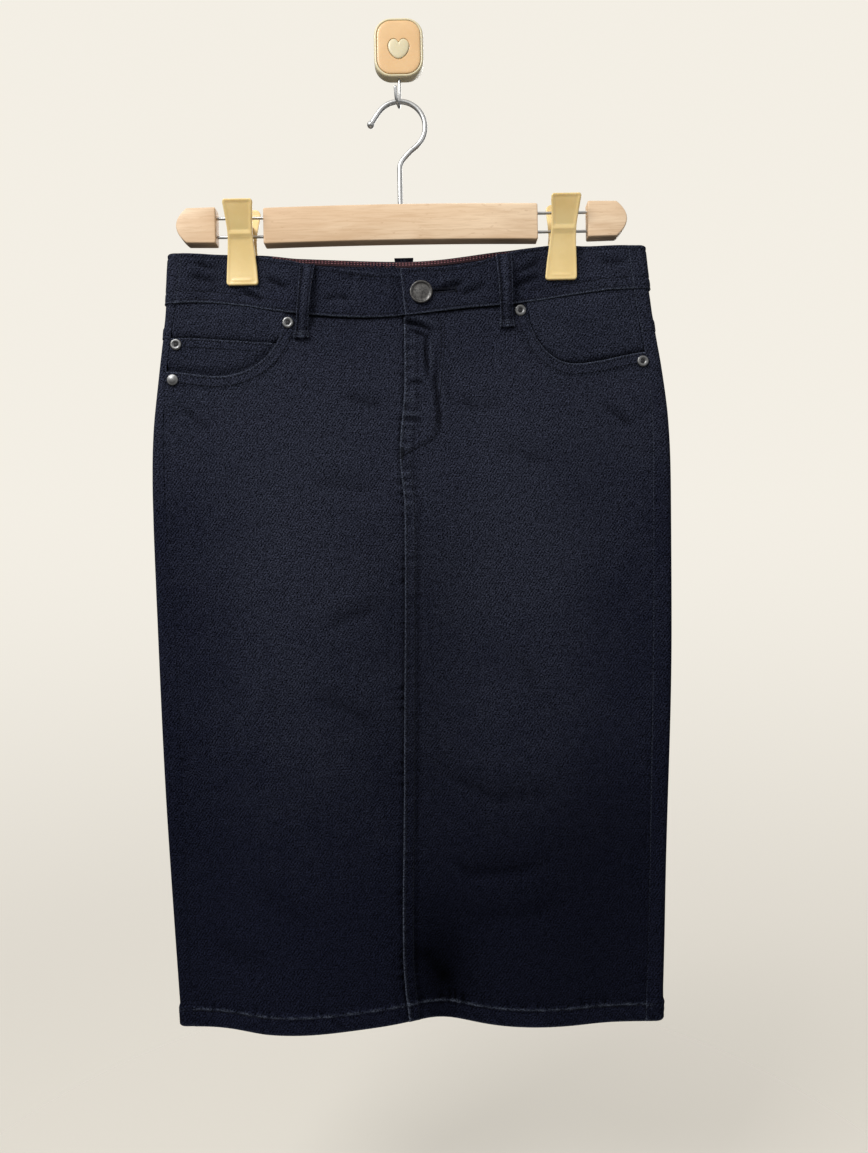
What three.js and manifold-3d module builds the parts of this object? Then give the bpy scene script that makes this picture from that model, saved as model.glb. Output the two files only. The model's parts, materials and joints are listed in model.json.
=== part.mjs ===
// A knee-length denim pencil skirt, clipped by its waistband to a wooden hanger with two
// sliding clips. The hanger hangs on a small stick-on wall hook.
// Millimetres, +Z up. The front faces -Y. The origin is the middle of the wall hook's flat
// back, so the wall is the plane y = 0 and everything lies in front of it.
import * as THREE from "three";
import { mergeVertices } from "three/addons/utils/BufferGeometryUtils.js";
import Module from "manifold-3d";

const wasm = await Module();
wasm.setup();

// Driving dimensions of the skirt
const SKIRT_LENGTH = 613.5; // waist edge at the side to hem
const SKIRT_X = 5.1; // the skirt's middle, from the wall hook's
const WAIST_Z = -170.7; // the waist edge at the sides
const HANG_Y = -20; // the plane of the hanger and of the side folds
const FOLD_RADIUS = 5; // how sharply the cloth turns at the side folds
const DENIM = 1.2; // one layer of stretch denim
const POCKETING = 1; // the pocket bags' thinner cloth
const BAND = 2.4; // the waistband, two layers
const HEM_THICKNESS = 2.4; // the turned hem, two layers
const HEM_DEPTH = 15;
const HEM_SLANT = 0.005; // the hem hangs a little lower on the right
const SEAM_GAP = 0.3; // between pieces that meet
const LAYER_GAP = 0.6; // between layers that lie on each other
const BAND_DEPTH = 37; // on the back
const BAND_SLANT = -0.015; // the waist seam runs a little higher on the right
const BACK_DIP = { dip: 5, left: 125, right: 90 }; // the back waist edge sags between the clips
const WAIST_RISE = { height: 3, x: 105, spread: 50 }; // the right clip pulls the edge up
const CLIP_X = { left: -126.9, right: 129.5 };
const CLIP_DEPTH = 26; // how much of the waistband a clip covers

// Half of the flat width, fold to fold, at depths below the waist edge, and how far the
// middle lies to the right
const OUTLINE = [
  { depth: -10, half: 189, middle: -0.8 },
  { depth: 50, half: 194.4, middle: -0.6 },
  { depth: 95, half: 200.5, middle: 0 },
  { depth: 140, half: 205, middle: 0 },
  { depth: 190, half: 206.5, middle: 0 },
  { depth: 300, half: 205, middle: 0 },
  { depth: 420, half: 201, middle: 0 },
  { depth: 540, half: 196, middle: 0 },
  { depth: 625, half: 191, middle: 0 },
];

// How far each side seam lies in from its fold, on the front
const SIDE_SEAMS = [
  { depth: -10, left: 11, right: 14 },
  { depth: 80, left: 6, right: 11 },
  { depth: 190, left: 9.5, right: 14 },
  { depth: 320, left: 14, right: 14.5 },
  { depth: 625, left: 11, right: 13 },
];

// The centre front line, which wanders a little as the cloth hangs
const CENTRE_FRONT = [
  { depth: -10, x: -3 },
  { depth: 110, x: -4.5 },
  { depth: 162, x: -9 },
  { depth: 205, x: -6 },
  { depth: 420, x: -10.5 },
  { depth: 560, x: -14 },
  { depth: 625, x: -9.5 },
];

// How far the cloth stands from the plane of the folds, at the waist, hip and hem
const FRONT_FOLDS = [
  { x: -96, spread: 62, waist: 0, hip: 5, hem: 17 },
  { x: 92, spread: 50, waist: 0, hip: 4, hem: 9.5 },
  { x: 16, spread: 30, waist: 2, hip: 2, hem: -12 },
];
const BACK_FOLDS = [
  { x: -70, spread: 95, waist: 1, hip: 5, hem: 8 },
  { x: 80, spread: 95, waist: 1, hip: 5, hem: 8 },
];
const HIP_DEPTH = 200;
const PANEL_ROWS = [120, 162, 205, 260, 320, 390, 460, 530];

// The front waist edge dips between the clips, on the left by distance from the middle
const WAIST_DIP_LEFT = [
  { away: 0, dip: 20 },
  { away: 20, dip: 19 },
  { away: 35, dip: 17.1 },
  { away: 55, dip: 14.3 },
  { away: 75, dip: 11.3 },
  { away: 100, dip: 5.6 },
  { away: 125, dip: 1.2 },
  { away: 145, dip: 0 },
  { away: 200, dip: 0 },
];
const WAIST_DIP_RIGHT = { dip: 15.5, flat: 26, end: 122 };

// The seam below the front waistband, as depths below the waist edge
const WAIST_SEAM = [
  { x: -200, depth: 40.5 },
  { x: -160, depth: 39 },
  { x: -130, depth: 42 },
  { x: -105, depth: 46.8 },
  { x: -73, depth: 50.8 },
  { x: -38, depth: 53.3 },
  { x: 0, depth: 52.3 },
  { x: 25, depth: 49.8 },
  { x: 50, depth: 47 },
  { x: 80, depth: 44.8 },
  { x: 105, depth: 41.5 },
  { x: 135, depth: 36.8 },
  { x: 160, depth: 34.6 },
  { x: 200, depth: 34 },
];

// The scooped pocket mouths: where they leave the waist seam, their lowest point and their
// end at the side seam
const POCKETS = {
  left: { startX: -98, startDepth: 47, lowX: -151, lowDepth: 98, endDepth: 93.5 },
  right: { startX: 94, startDepth: 42, lowX: 131, lowDepth: 92.8, endDepth: 84 },
};
const FACING_DEPTH = 118; // the pocket facing ends this far down, behind the front
const BAG_DEPTH = 212;
const BAG_INNER_X = 42; // the pocket bags' inner edges, from the middle
const COIN_POCKET = { sideDepth: 67, innerDepth: 73.6, bottomDepth: 112 };

const YOKE = { sideDepth: 67, backDepth: 106 };
const CENTRE_BACK_X = -3;
const SLIT = { top: 458, opening: 3.5 };

const FLY = { top: 56, bottom: 168, width: 36, zipWidth: 26 };
const BAND_END = { top: -5.4, bottom: -2.4 }; // the end of the band that laps over
const UNDERLAP_END = 32;

const BUTTON = { x: 10.8, depth: 35, radius: 9, shank: 2.2, height: 4.2 };
const BUTTONHOLE = { end: 37.5, rise: 2, width: 1.4, eyelet: 2.8 };

const RIVET = { radius: 4.6, height: 1.6 };
const RIVETS = [
  { name: "rivet_left_top", x: -95.5, depth: 56.5, layer: "front" },
  { name: "rivet_coin_pocket", x: -184.8, depth: 72.3, layer: "coin" },
  { name: "rivet_left_side", x: -188.2, depth: 100.3, layer: "front" },
  { name: "rivet_right_top", x: 88.9, depth: 49.9, layer: "front" },
  { name: "rivet_right_side", x: 184.6, depth: 91.9, layer: "front" },
];

const LOOP = { width: 10.8, thickness: 1.6, standOff: 2, foot: 5, footWidth: 13.4 };
const FRONT_LOOPS = [
  { name: "belt_loop_front_left", topX: -78.8, footX: -85.3, footDepth: 69.3 },
  { name: "belt_loop_front_right", topX: 76.3, footX: 78.2, footDepth: 63.5 },
];
const BACK_LOOPS = [
  { name: "belt_loop_back_left", x: -108 },
  { name: "belt_loop_back_centre", x: CENTRE_BACK_X },
  { name: "belt_loop_back_right", x: 102 },
];
const BACK_LOOP_BELOW = 13; // how far the back loops reach below the waist seam
const CENTRE_LOOP_RISE = 4; // the centre back loop folds over the waist edge

// Driving dimensions of the hanger
const HANGER_X = -0.4; // the hanger's middle, from the wall hook's
const BAR = { half: 109, top: -134, height: 28.7, thickness: 12, arch: 1.2 };
const END_BLOCKS = { left: { inner: 146.8, outer: 178.3 }, right: { inner: 148.8, outer: 180 } };
const END_BOW = 8.8;
const ROD_RADIUS = 1.15;
const ROD_SPACING = 15;
const ROD_MIDDLE_Z = -148.7;
const ROD_SEAT = 20; // how far each rod runs into an end block
const BORE_DEPTH = 40; // how far the bar is bored for the rods, short of the hook's socket
const WIRE_RADIUS = 2; // the hanger's hook
const CROOK = { x: 0.4, radius: 20.4, z: -70.3, from: -44, to: 152 };
const HOOK_KNEE_Z = -98.7;
const HOOK_SEAT = 16;
const HOOK_TIP = { x: -22.6, z: -68.1, radius: 2.9 };

// A clip's arm: height above the rods' middle, gap from the clip's middle plane to the arm's
// inner face, and half width
const BACK_ARM_RAISE = 4.5;
const ARM = [
  { up: 16.2, stand: 15.4, half: 12.1 },
  { up: 13.9, stand: 14.8, half: 11.8 },
  { up: 3, stand: 11, half: 10.6 },
  { up: -6.2, stand: 8, half: 9.9 },
  { up: -14, stand: 5.8, half: 10.2 },
  { up: -24, stand: 4.2, half: 11 },
  { up: -34, stand: 3.3, half: 11.9 },
  { up: -47.5, stand: 3, half: 12.7 },
];
const CLIP_LEAN = { left: -0.009, right: 0.057 }; // sideways per height
const ARM_THICKNESS = 2.4;
const FULCRUM = { half: 6.05, width: 13 };

// Driving dimensions of the wall hook
const PLATE = { width: 40, height: 48, thickness: 10, corner: 14, rim: 2.2, recess: 1.6 };
const HEART = { width: 17.6, height: 16.8, z: -1.5, depth: 0.9, thickness: 0.9 };
// Half of the heart's outline, from notch to tip, in shares of its width and height
const HEART_HALF = [
  [0, 0.333],
  [0.119, 0.464],
  [0.256, 0.494],
  [0.392, 0.417],
  [0.483, 0.268],
  [0.5, 0.077],
  [0.4375, -0.143],
  [0.301, -0.345],
  [0.148, -0.464],
  [0, -0.506],
];
const WALL_WIRE_RADIUS = 1.25;

const COLOURS = {
  denim: 0x1c2233,
  pocketing: 0x23262e,
  zip: 0x1a1d26,
  pewter: 0x6f6f6c,
  rivet: 0xa9aba9,
  wood: 0xe3c4a0,
  steel: 0xb9bcbd,
  clip: 0xdcc483,
  plate: 0xe9e0bf,
  cover: 0xf2c498,
};

const clamp = (value, low, high) => Math.min(high, Math.max(low, value));
const mix = (a, b, t) => a + (b - a) * t;

function smooth(low, high, value) {
  const t = clamp((value - low) / (high - low), 0, 1);
  return t * t * (3 - 2 * t);
}

// A smooth curve through one column of a table whose rows are sorted by key
function read(table, column, place, key = "depth") {
  const last = table.length - 1;
  let row = 0;
  while (row < last - 1 && place > table[row + 1][key]) row += 1;
  const slope = (i) => {
    const before = table[Math.max(i - 1, 0)];
    const after = table[Math.min(i + 1, last)];
    return (after[column] - before[column]) / (after[key] - before[key]);
  };
  const span = table[row + 1][key] - table[row][key];
  const t = clamp((place - table[row][key]) / span, 0, 1);
  const a = table[row][column];
  const b = table[row + 1][column];
  const turn = t * t * (3 - 2 * t);
  const leave = t * (1 - t) * (1 - t) * span * slope(row);
  const arrive = t * t * (t - 1) * span * slope(row + 1);
  return mix(a, b, turn) + leave + arrive;
}

// How far the folds of one side stand out at a place
function foldDepth(folds, x, depth) {
  let sum = 0;
  for (const fold of folds) {
    const upper = mix(fold.waist, fold.hip, smooth(30, HIP_DEPTH, depth));
    const height = mix(upper, fold.hem, smooth(HIP_DEPTH, SKIRT_LENGTH, depth));
    sum += height * Math.exp(-(((x - fold.x) / fold.spread) ** 2));
  }
  return sum;
}

// 1 where a clip presses the two sides of the waistband together, and 0 away from it
function pinch(x, depth) {
  const away = Math.abs(SKIRT_X + x - HANGER_X - (x < 0 ? CLIP_X.left : CLIP_X.right));
  const across = 1 - smooth(14, 46, away);
  return across * (1 - smooth(CLIP_DEPTH + 1, CLIP_DEPTH + 29, depth));
}

const flatHalf = (depth) => read(OUTLINE, "half", depth) - DENIM - FOLD_RADIUS;
const halfGirth = (depth) => 2 * flatHalf(depth) + Math.PI * FOLD_RADIUS;

// The inner face of the skirt's shell. girth is the distance round the skirt from the middle
// of the front: negative to the left, and past a side fold it runs on along the back.
function shell(girth, depth) {
  const side = Math.sign(girth) || 1;
  const flat = flatHalf(depth);
  const past = Math.abs(girth) - flat;
  const turn = clamp(past / FOLD_RADIUS, 0, Math.PI);
  const onBack = turn >= Math.PI;
  let x = side * (flat + FOLD_RADIUS * Math.sin(turn) + Math.min(past, 0));
  if (onBack) x -= side * (past - Math.PI * FOLD_RADIUS);
  let out = FOLD_RADIUS * Math.cos(turn);
  const inside = smooth(0, 70, flat - Math.abs(x));
  if (turn === 0) out += inside * foldDepth(FRONT_FOLDS, x, depth);
  if (onBack) out -= inside * foldDepth(BACK_FOLDS, x, depth);
  out = mix(out, Math.sign(out) * SEAM_GAP, pinch(x, depth));
  return { x, y: -out };
}

// A point of the skirt, moved out from the shell's inner face
function skirtPoint(girth, depth, out) {
  const step = 0.5;
  const here = shell(girth, depth);
  const before = shell(girth - step, depth);
  const after = shell(girth + step, depth);
  const along = new THREE.Vector2(after.x - before.x, after.y - before.y).normalize();
  return new THREE.Vector3(
    SKIRT_X + read(OUTLINE, "middle", depth) + here.x + along.y * out,
    HANG_Y + here.y - along.x * out,
    WAIST_Z - depth,
  );
}

// The girth of a place on the back, from its x
const backGirth = (x, depth) => {
  const side = x < 0 ? -1 : 1;
  return side * (halfGirth(depth) - Math.abs(x));
};

function seamGirth(side, depth) {
  const half = read(OUTLINE, "half", depth) - DENIM;
  const inset = read(SIDE_SEAMS, side, depth);
  return side === "left" ? inset - half : half - inset;
}

const centreFront = (depth) => read(CENTRE_FRONT, "x", depth);

const frontDip = (x) => {
  if (x < -3) return read(WAIST_DIP_LEFT, "dip", -x, "away");
  const { dip, flat, end } = WAIST_DIP_RIGHT;
  return dip * (1 - smooth(flat, end, Math.abs(x)));
};
const backDip = (x) => {
  const reach = x < 0 ? BACK_DIP.left : BACK_DIP.right;
  return BACK_DIP.dip * (1 - smooth(0, reach, Math.abs(x)));
};
const rise = (x) => WAIST_RISE.height * Math.exp(-(((x - WAIST_RISE.x) / WAIST_RISE.spread) ** 2));
const frontTop = (x) => frontDip(x) - rise(x);
const backTop = (x) => backDip(x) - rise(x);
const frontWaistSeam = (x) => read(WAIST_SEAM, "depth", x, "x");
const backWaistSeam = (x) => backDip(x) + BAND_DEPTH + BAND_SLANT * x;
const yokeSeam = (x) => {
  const across = clamp(Math.abs(x - CENTRE_BACK_X) / 190, 0, 1);
  return mix(YOKE.backDepth, YOKE.sideDepth, across);
};
const hem = (x) => SKIRT_LENGTH + HEM_SLANT * x;

// The mouth of a pocket: a quarter of an ellipse, then a nearly straight run to the side
function pocketMouth(side, x) {
  const mouth = POCKETS[side];
  const outward = side === "left" ? -1 : 1;
  const run = (x - mouth.startX) * outward;
  const width = (mouth.lowX - mouth.startX) * outward;
  if (run <= 0) return 0;
  if (run < width) {
    const part = 1 - run / width;
    return mouth.startDepth + (mouth.lowDepth - mouth.startDepth) * Math.sqrt(1 - part * part);
  }
  const rest = (run - width) / (195 - Math.abs(mouth.lowX));
  return mix(mouth.lowDepth, mouth.endDepth, smooth(0, 1, rest));
}

// A closed solid between two grids of points
function gridSolid(columns, rows, outerPoint, innerPoint) {
  const points = [];
  for (const face of [outerPoint, innerPoint]) {
    for (let j = 0; j <= rows; j += 1) {
      for (let i = 0; i <= columns; i += 1) points.push(face(i, j));
    }
  }
  const size = (columns + 1) * (rows + 1);
  const at = (face, i, j) => face * size + j * (columns + 1) + i;
  const index = [];
  const quad = (a, b, c, d) => index.push(a, b, c, a, c, d);
  for (let j = 0; j < rows; j += 1) {
    for (let i = 0; i < columns; i += 1) {
      quad(at(0, i, j), at(0, i, j + 1), at(0, i + 1, j + 1), at(0, i + 1, j));
      quad(at(1, i, j), at(1, i + 1, j), at(1, i + 1, j + 1), at(1, i, j + 1));
    }
  }
  for (let i = 0; i < columns; i += 1) {
    quad(at(0, i, 0), at(0, i + 1, 0), at(1, i + 1, 0), at(1, i, 0));
    quad(at(0, i, rows), at(1, i, rows), at(1, i + 1, rows), at(0, i + 1, rows));
  }
  for (let j = 0; j < rows; j += 1) {
    quad(at(0, 0, j), at(1, 0, j), at(1, 0, j + 1), at(0, 0, j + 1));
    quad(at(0, columns, j), at(0, columns, j + 1), at(1, columns, j + 1), at(1, columns, j));
  }
  const geometry = new THREE.BufferGeometry();
  const flatList = points.flatMap((p) => [p.x, p.y, p.z]);
  geometry.setAttribute("position", new THREE.Float32BufferAttribute(flatList, 3));
  geometry.setIndex(index);
  return facingOut(geometry);
}

// Turns a closed geometry's faces round if they point inwards
function facingOut(geometry) {
  const p = geometry.attributes.position;
  const index = geometry.index.array;
  const corner = [new THREE.Vector3(), new THREE.Vector3(), new THREE.Vector3()];
  let volume = 0;
  for (let i = 0; i < index.length; i += 3) {
    corner.forEach((v, k) => v.fromBufferAttribute(p, index[i + k]));
    volume += corner[0].dot(corner[1].clone().cross(corner[2]));
  }
  if (volume < 0) {
    for (let i = 0; i < index.length; i += 3) {
      [index[i + 1], index[i + 2]] = [index[i + 2], index[i + 1]];
    }
  }
  return geometry;
}

const asSolid = (geometry) => {
  const bare = geometry.clone();
  bare.deleteAttribute("normal");
  bare.deleteAttribute("uv");
  const merged = mergeVertices(bare, 1e-3);
  return new wasm.Manifold(
    new wasm.Mesh({
      numProp: 3,
      vertProperties: new Float32Array(merged.attributes.position.array),
      triVerts: new Uint32Array(merged.index.array),
    }),
  );
};

const asGeometry = (solid) => {
  const mesh = solid.getMesh();
  const geometry = new THREE.BufferGeometry();
  geometry.setAttribute("position", new THREE.BufferAttribute(mesh.vertProperties, 3));
  geometry.setIndex(new THREE.BufferAttribute(mesh.triVerts, 1));
  return geometry;
};

const evenly = (count) => Array.from({ length: count + 1 }, (_, i) => i / count);

// A piece of cloth. left and right give the girth of its edges at a depth; top and bottom
// give the depth of its edges at an x. lift(depth, x) shifts the piece out from the shell.
// stops are the shares of the width where its columns stand.
function clothPiece({ left, right, top, bottom, stops, rows, thickness, lift }) {
  const shift = lift ?? (() => 0);
  const place = (i, j, out) => {
    let depth = (top(0) + bottom(0)) / 2;
    let girth = 0;
    let x = 0;
    for (let pass = 0; pass < 6; pass += 1) {
      girth = mix(left(depth), right(depth), stops[i]);
      x = shell(girth, depth).x;
      depth = mix(top(x), bottom(x), j / rows);
    }
    return skirtPoint(girth, depth, shift(depth, x) + out * thickness);
  };
  const columns = stops.length - 1;
  return gridSolid(columns, rows, (i, j) => place(i, j, 1), (i, j) => place(i, j, 0));
}

// A long panel from its top edge to the turned hem. All panels share the rows below
// PANEL_ROWS[0], so that the seams between them match.
function skirtPanel({ left, right, top, stops, upperRows }) {
  const step = 0.8; // the slope where one layer becomes two
  const rows = upperRows + PANEL_ROWS.length - 1 + 3;
  const rowDepth = (j, x) => {
    if (j <= upperRows) return mix(top(x), PANEL_ROWS[0], j / upperRows);
    const below = j - upperRows;
    if (below < PANEL_ROWS.length) return PANEL_ROWS[below];
    return hem(x) - [HEM_DEPTH + step, HEM_DEPTH, 0][below - PANEL_ROWS.length];
  };
  const place = (i, j, out) => {
    let depth = rowDepth(j, 0);
    let girth = 0;
    for (let pass = 0; pass < 6; pass += 1) {
      girth = mix(left(depth), right(depth), stops[i]);
      depth = rowDepth(j, shell(girth, depth).x);
    }
    return skirtPoint(girth, depth, out * (j >= rows - 1 ? HEM_THICKNESS : DENIM));
  };
  const columns = stops.length - 1;
  return gridSolid(columns, rows, (i, j) => place(i, j, 1), (i, j) => place(i, j, 0));
}

function mesh(name, geometry, colour, roughness, metalness = 0) {
  const material = new THREE.MeshStandardMaterial({ color: colour, roughness, metalness });
  const made = new THREE.Mesh(geometry, material);
  made.name = name;
  return made;
}

const denim = (name, geometry) => mesh(name, geometry, COLOURS.denim, 0.85);

// The front: two panels that meet at the centre seam, each cut away at its pocket mouth
function frontPanel(side) {
  const mouth = POCKETS[side];
  const isLeft = side === "left";
  const half = SEAM_GAP / 2;
  const left = isLeft ? (d) => seamGirth("left", d) + half : (d) => centreFront(d) + half;
  const right = isLeft ? (d) => centreFront(d) - half : (d) => seamGirth("right", d) - half;
  const top = (x) => Math.max(frontWaistSeam(x) + SEAM_GAP, pocketMouth(side, x));
  // Columns: across from the middle, round the mouth's curve, then along the side run
  const middle = Math.abs(centreFront(mouth.lowDepth));
  const edge = Math.abs(seamGirth(side, mouth.lowDepth));
  const reach = Math.abs(mouth.lowX - mouth.startX);
  const curve = [3, 12, 22, 33, 45, 59, 74, 90].map((angle) => {
    return Math.abs(mouth.lowX) - reach * Math.cos((angle * Math.PI) / 180);
  });
  const places = [18, 34, 50, 66, 82, ...curve, mix(Math.abs(mouth.lowX), edge, 0.5)];
  const inner = isLeft ? middle : -middle;
  const shares = [0, ...places.map((x) => (x - inner) / (edge - inner)), 1];
  const stops = isLeft ? shares.map((share) => 1 - share).reverse() : shares;
  const geometry = skirtPanel({ left, right, top, stops, upperRows: 3 });
  return denim(`front_panel_${side}`, geometry);
}

// The hip pieces behind the pocket mouths, which run up to the waist seam
function pocketFacing(side) {
  const isLeft = side === "left";
  const inner = Math.abs(POCKETS[side].startX) - 10;
  const layer = DENIM + LAYER_GAP;
  const edge = (d) => seamGirth(side, d) + (isLeft ? SEAM_GAP : -SEAM_GAP);
  const geometry = clothPiece({
    left: isLeft ? edge : () => inner,
    right: isLeft ? () => -inner : edge,
    top: (x) => frontWaistSeam(x) + SEAM_GAP,
    bottom: () => FACING_DEPTH,
    stops: evenly(9),
    rows: 5,
    thickness: DENIM,
    lift: () => (isLeft ? -2 * layer : -layer),
  });
  return denim(`pocket_facing_${side}`, geometry);
}

function coinPocket() {
  const { sideDepth, innerDepth, bottomDepth } = COIN_POCKET;
  const inner = POCKETS.left.startX + 4;
  const geometry = clothPiece({
    left: (d) => seamGirth("left", d) + SEAM_GAP,
    right: () => inner,
    top: (x) => mix(innerDepth, sideDepth, clamp((inner - x) / 80, 0, 1)),
    bottom: () => bottomDepth,
    stops: evenly(8),
    rows: 3,
    thickness: DENIM,
    lift: () => -DENIM - LAYER_GAP,
  });
  return denim("coin_pocket", geometry);
}

// The bags of the front pockets, hidden inside
function pocketBag(side) {
  const isLeft = side === "left";
  const above = (isLeft ? 2 : 1) * (DENIM + LAYER_GAP);
  const edge = (d) => seamGirth(side, d) + (isLeft ? SEAM_GAP : -SEAM_GAP);
  const corner = (x) => {
    const part = clamp((Math.abs(x) - BAG_INNER_X) / 40, 0, 1);
    return BAG_DEPTH - 40 * (1 - Math.sqrt(1 - (1 - part) ** 2));
  };
  const geometry = clothPiece({
    left: isLeft ? edge : () => BAG_INNER_X,
    right: isLeft ? () => -BAG_INNER_X : edge,
    top: (x) => Math.max(frontWaistSeam(x) + SEAM_GAP, 46),
    bottom: corner,
    stops: evenly(8),
    rows: 6,
    thickness: POCKETING,
    lift: () => -above - LAYER_GAP - POCKETING,
  });
  return mesh(`pocket_bag_${side}`, geometry, COLOURS.pocketing, 0.9);
}

function yoke(side) {
  const isLeft = side === "left";
  const middle = (d) => backGirth(CENTRE_BACK_X, d);
  const centre = (d) => (isLeft ? middle(d) : 2 * halfGirth(d) + middle(d) - SEAM_GAP);
  const edge = (d) => seamGirth(side, d) + (isLeft ? -SEAM_GAP / 2 : SEAM_GAP / 2);
  const geometry = clothPiece({
    left: isLeft ? (d) => centre(d) + SEAM_GAP / 2 : edge,
    right: isLeft ? edge : (d) => centre(d) + SEAM_GAP / 2,
    top: (x) => backWaistSeam(x) + SEAM_GAP,
    bottom: (x) => yokeSeam(x) - SEAM_GAP / 2,
    rows: 2,
    thickness: DENIM,
    stops: backStops(isLeft),
  });
  return denim(`back_yoke_${side}`, geometry);
}

// Columns for a piece that runs from the centre back round a side fold: close at the fold
function backStops(isLeft) {
  const stops = [0, 0.13, 0.26, 0.39, 0.52, 0.65, 0.78, 0.87, 0.905, 0.925, 0.945, 0.965, 0.985, 1];
  return isLeft ? stops : stops.map((s) => 1 - s).reverse();
}

function backPanel(side) {
  const isLeft = side === "left";
  const open = (d) => SLIT.opening * smooth(SLIT.top, SKIRT_LENGTH, d) + SEAM_GAP / 2;
  const middle = (d) => backGirth(CENTRE_BACK_X, d);
  const centre = (d) => (isLeft ? middle(d) + open(d) : 2 * halfGirth(d) + middle(d) - open(d));
  const edge = (d) => seamGirth(side, d) + (isLeft ? -SEAM_GAP / 2 : SEAM_GAP / 2);
  const geometry = skirtPanel({
    left: isLeft ? centre : edge,
    right: isLeft ? edge : centre,
    top: (x) => yokeSeam(x) + SEAM_GAP / 2,
    stops: backStops(isLeft),
    upperRows: 2,
  });
  return denim(`back_panel_${side}`, geometry);
}

// The waistband's left front piece runs on behind the right one and carries the button
function bandFrontLeft() {
  const behind = (depth, x) => -(BAND + SEAM_GAP) * smooth(-13, -6.5, x);
  const geometry = clothPiece({
    left: (d) => seamGirth("left", d) + SEAM_GAP / 2,
    right: () => UNDERLAP_END,
    top: (x) => mix(frontTop(Math.min(x, -4)), frontTop(30) + 1, smooth(-8, 10, x)),
    bottom: (x) => frontWaistSeam(x) - smooth(-12, -6, x),
    stops: evenly(22),
    rows: 3,
    thickness: BAND,
    lift: behind,
  });
  return denim("waistband_front_left", geometry);
}

// The right front piece laps over, and has the buttonhole
function bandFrontRight() {
  const end = (d) => mix(BAND_END.top, BAND_END.bottom, clamp((d - 17) / 35, 0, 1));
  const geometry = clothPiece({
    left: end,
    right: (d) => seamGirth("right", d) - SEAM_GAP / 2,
    top: (x) => frontTop(Math.max(x, 0)),
    bottom: frontWaistSeam,
    stops: evenly(18),
    rows: 3,
    thickness: BAND,
  });
  const length = BUTTONHOLE.end - BUTTON.x;
  const through = 14;
  const at = skirtPoint(BUTTON.x, BUTTON.depth, 0);
  const slot = new THREE.BoxGeometry(length, through, BUTTONHOLE.width);
  slot.rotateY(-Math.atan2(BUTTONHOLE.rise, length));
  slot.translate(at.x + length / 2, at.y, at.z + BUTTONHOLE.rise / 2);
  const eyelet = new THREE.CylinderGeometry(BUTTONHOLE.eyelet, BUTTONHOLE.eyelet, through, 12);
  eyelet.translate(at.x, at.y, at.z);
  const cut = asSolid(geometry).subtract(asSolid(slot)).subtract(asSolid(eyelet));
  return denim("waistband_front_right", asGeometry(cut));
}

// The back band runs from the left side seam, round the back, to the right side seam
function bandBack() {
  const rows = 3;
  const span = (d) => seamGirth("left", d) + 2 * halfGirth(d) - seamGirth("right", d);
  const middle = BAND_DEPTH / 2;
  const leftRun = halfGirth(middle) + seamGirth("left", middle);
  const atFolds = [0, 0.008, 0.016, 0.024, 0.034, 0.05];
  const atClip = (x) => [-30, -14, 0, 14, 30].map((away) => HANGER_X + x + away - SKIRT_X);
  const between = [-80, -54, -28, 0, 28, 54, 78];
  const places = [...atClip(CLIP_X.left), ...between, ...atClip(CLIP_X.right)];
  const shares = places.map((x) => (leftRun + x) / span(middle));
  const stops = [...atFolds, ...shares, ...atFolds.map((s) => 1 - s)].sort((a, b) => a - b);
  const place = (i, j, out) => {
    let depth = middle;
    let girth = 0;
    for (let pass = 0; pass < 4; pass += 1) {
      const run = mix(SEAM_GAP / 2, span(depth) - SEAM_GAP / 2, stops[i]);
      girth = seamGirth("left", depth) - run;
      if (girth < -halfGirth(depth)) girth += 2 * halfGirth(depth);
      const { x } = shell(girth, depth);
      depth = mix(backTop(x), backWaistSeam(x), j / rows);
    }
    return skirtPoint(girth, depth, out * BAND);
  };
  const columns = stops.length - 1;
  const geometry = gridSolid(columns, rows, (i, j) => place(i, j, 1), (i, j) => place(i, j, 0));
  return denim("waistband_back", geometry);
}

// A belt loop: a strip that stands off the band, with its foot folded and tacked down.
// girthAt gives the place of the strip's middle.
function beltLoop(name, girthAt, topDepth, seamDepth, footDepth) {
  const rows = 9;
  const place = (i, j, face) => {
    const t = j / rows;
    const isFoot = j >= rows - 1;
    const depth = isFoot
      ? footDepth - (rows - j) * LOOP.foot
      : mix(topDepth, footDepth - LOOP.foot - 0.8, j / (rows - 2));
    const half = (j >= rows - 1 ? LOOP.footWidth : LOOP.width) / 2;
    const onBand = 1 - smooth(seamDepth - 1, seamDepth + 6, depth);
    const rest = mix(DENIM, BAND, onBand) + LAYER_GAP;
    const arch = LOOP.standOff * Math.sin(Math.PI * clamp(t * 1.15, 0, 1));
    const inner = rest + (isFoot ? 0 : arch);
    const thick = isFoot ? LOOP.thickness * 1.7 : LOOP.thickness;
    const sideways = i === 0 ? -half : half;
    return skirtPoint(girthAt(depth) + sideways, depth, inner + face * thick);
  };
  const geometry = gridSolid(1, rows, (i, j) => place(i, j, 1), (i, j) => place(i, j, 0));
  return denim(name, geometry);
}

function frontLoop({ name, topX, footX, footDepth }) {
  const topDepth = frontTop(topX) + 0.5;
  const middle = (depth) => mix(topX, footX, (depth - topDepth) / (footDepth - topDepth));
  return beltLoop(name, middle, topDepth, frontWaistSeam(topX), footDepth);
}

function backLoop({ name, x }) {
  const seamDepth = backWaistSeam(x);
  const isCentre = x === CENTRE_BACK_X;
  const topDepth = backTop(x) + (isCentre ? -CENTRE_LOOP_RISE : 0.5);
  const middle = (depth) => backGirth(x, depth);
  return beltLoop(name, middle, topDepth, seamDepth, seamDepth + BACK_LOOP_BELOW);
}

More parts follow.
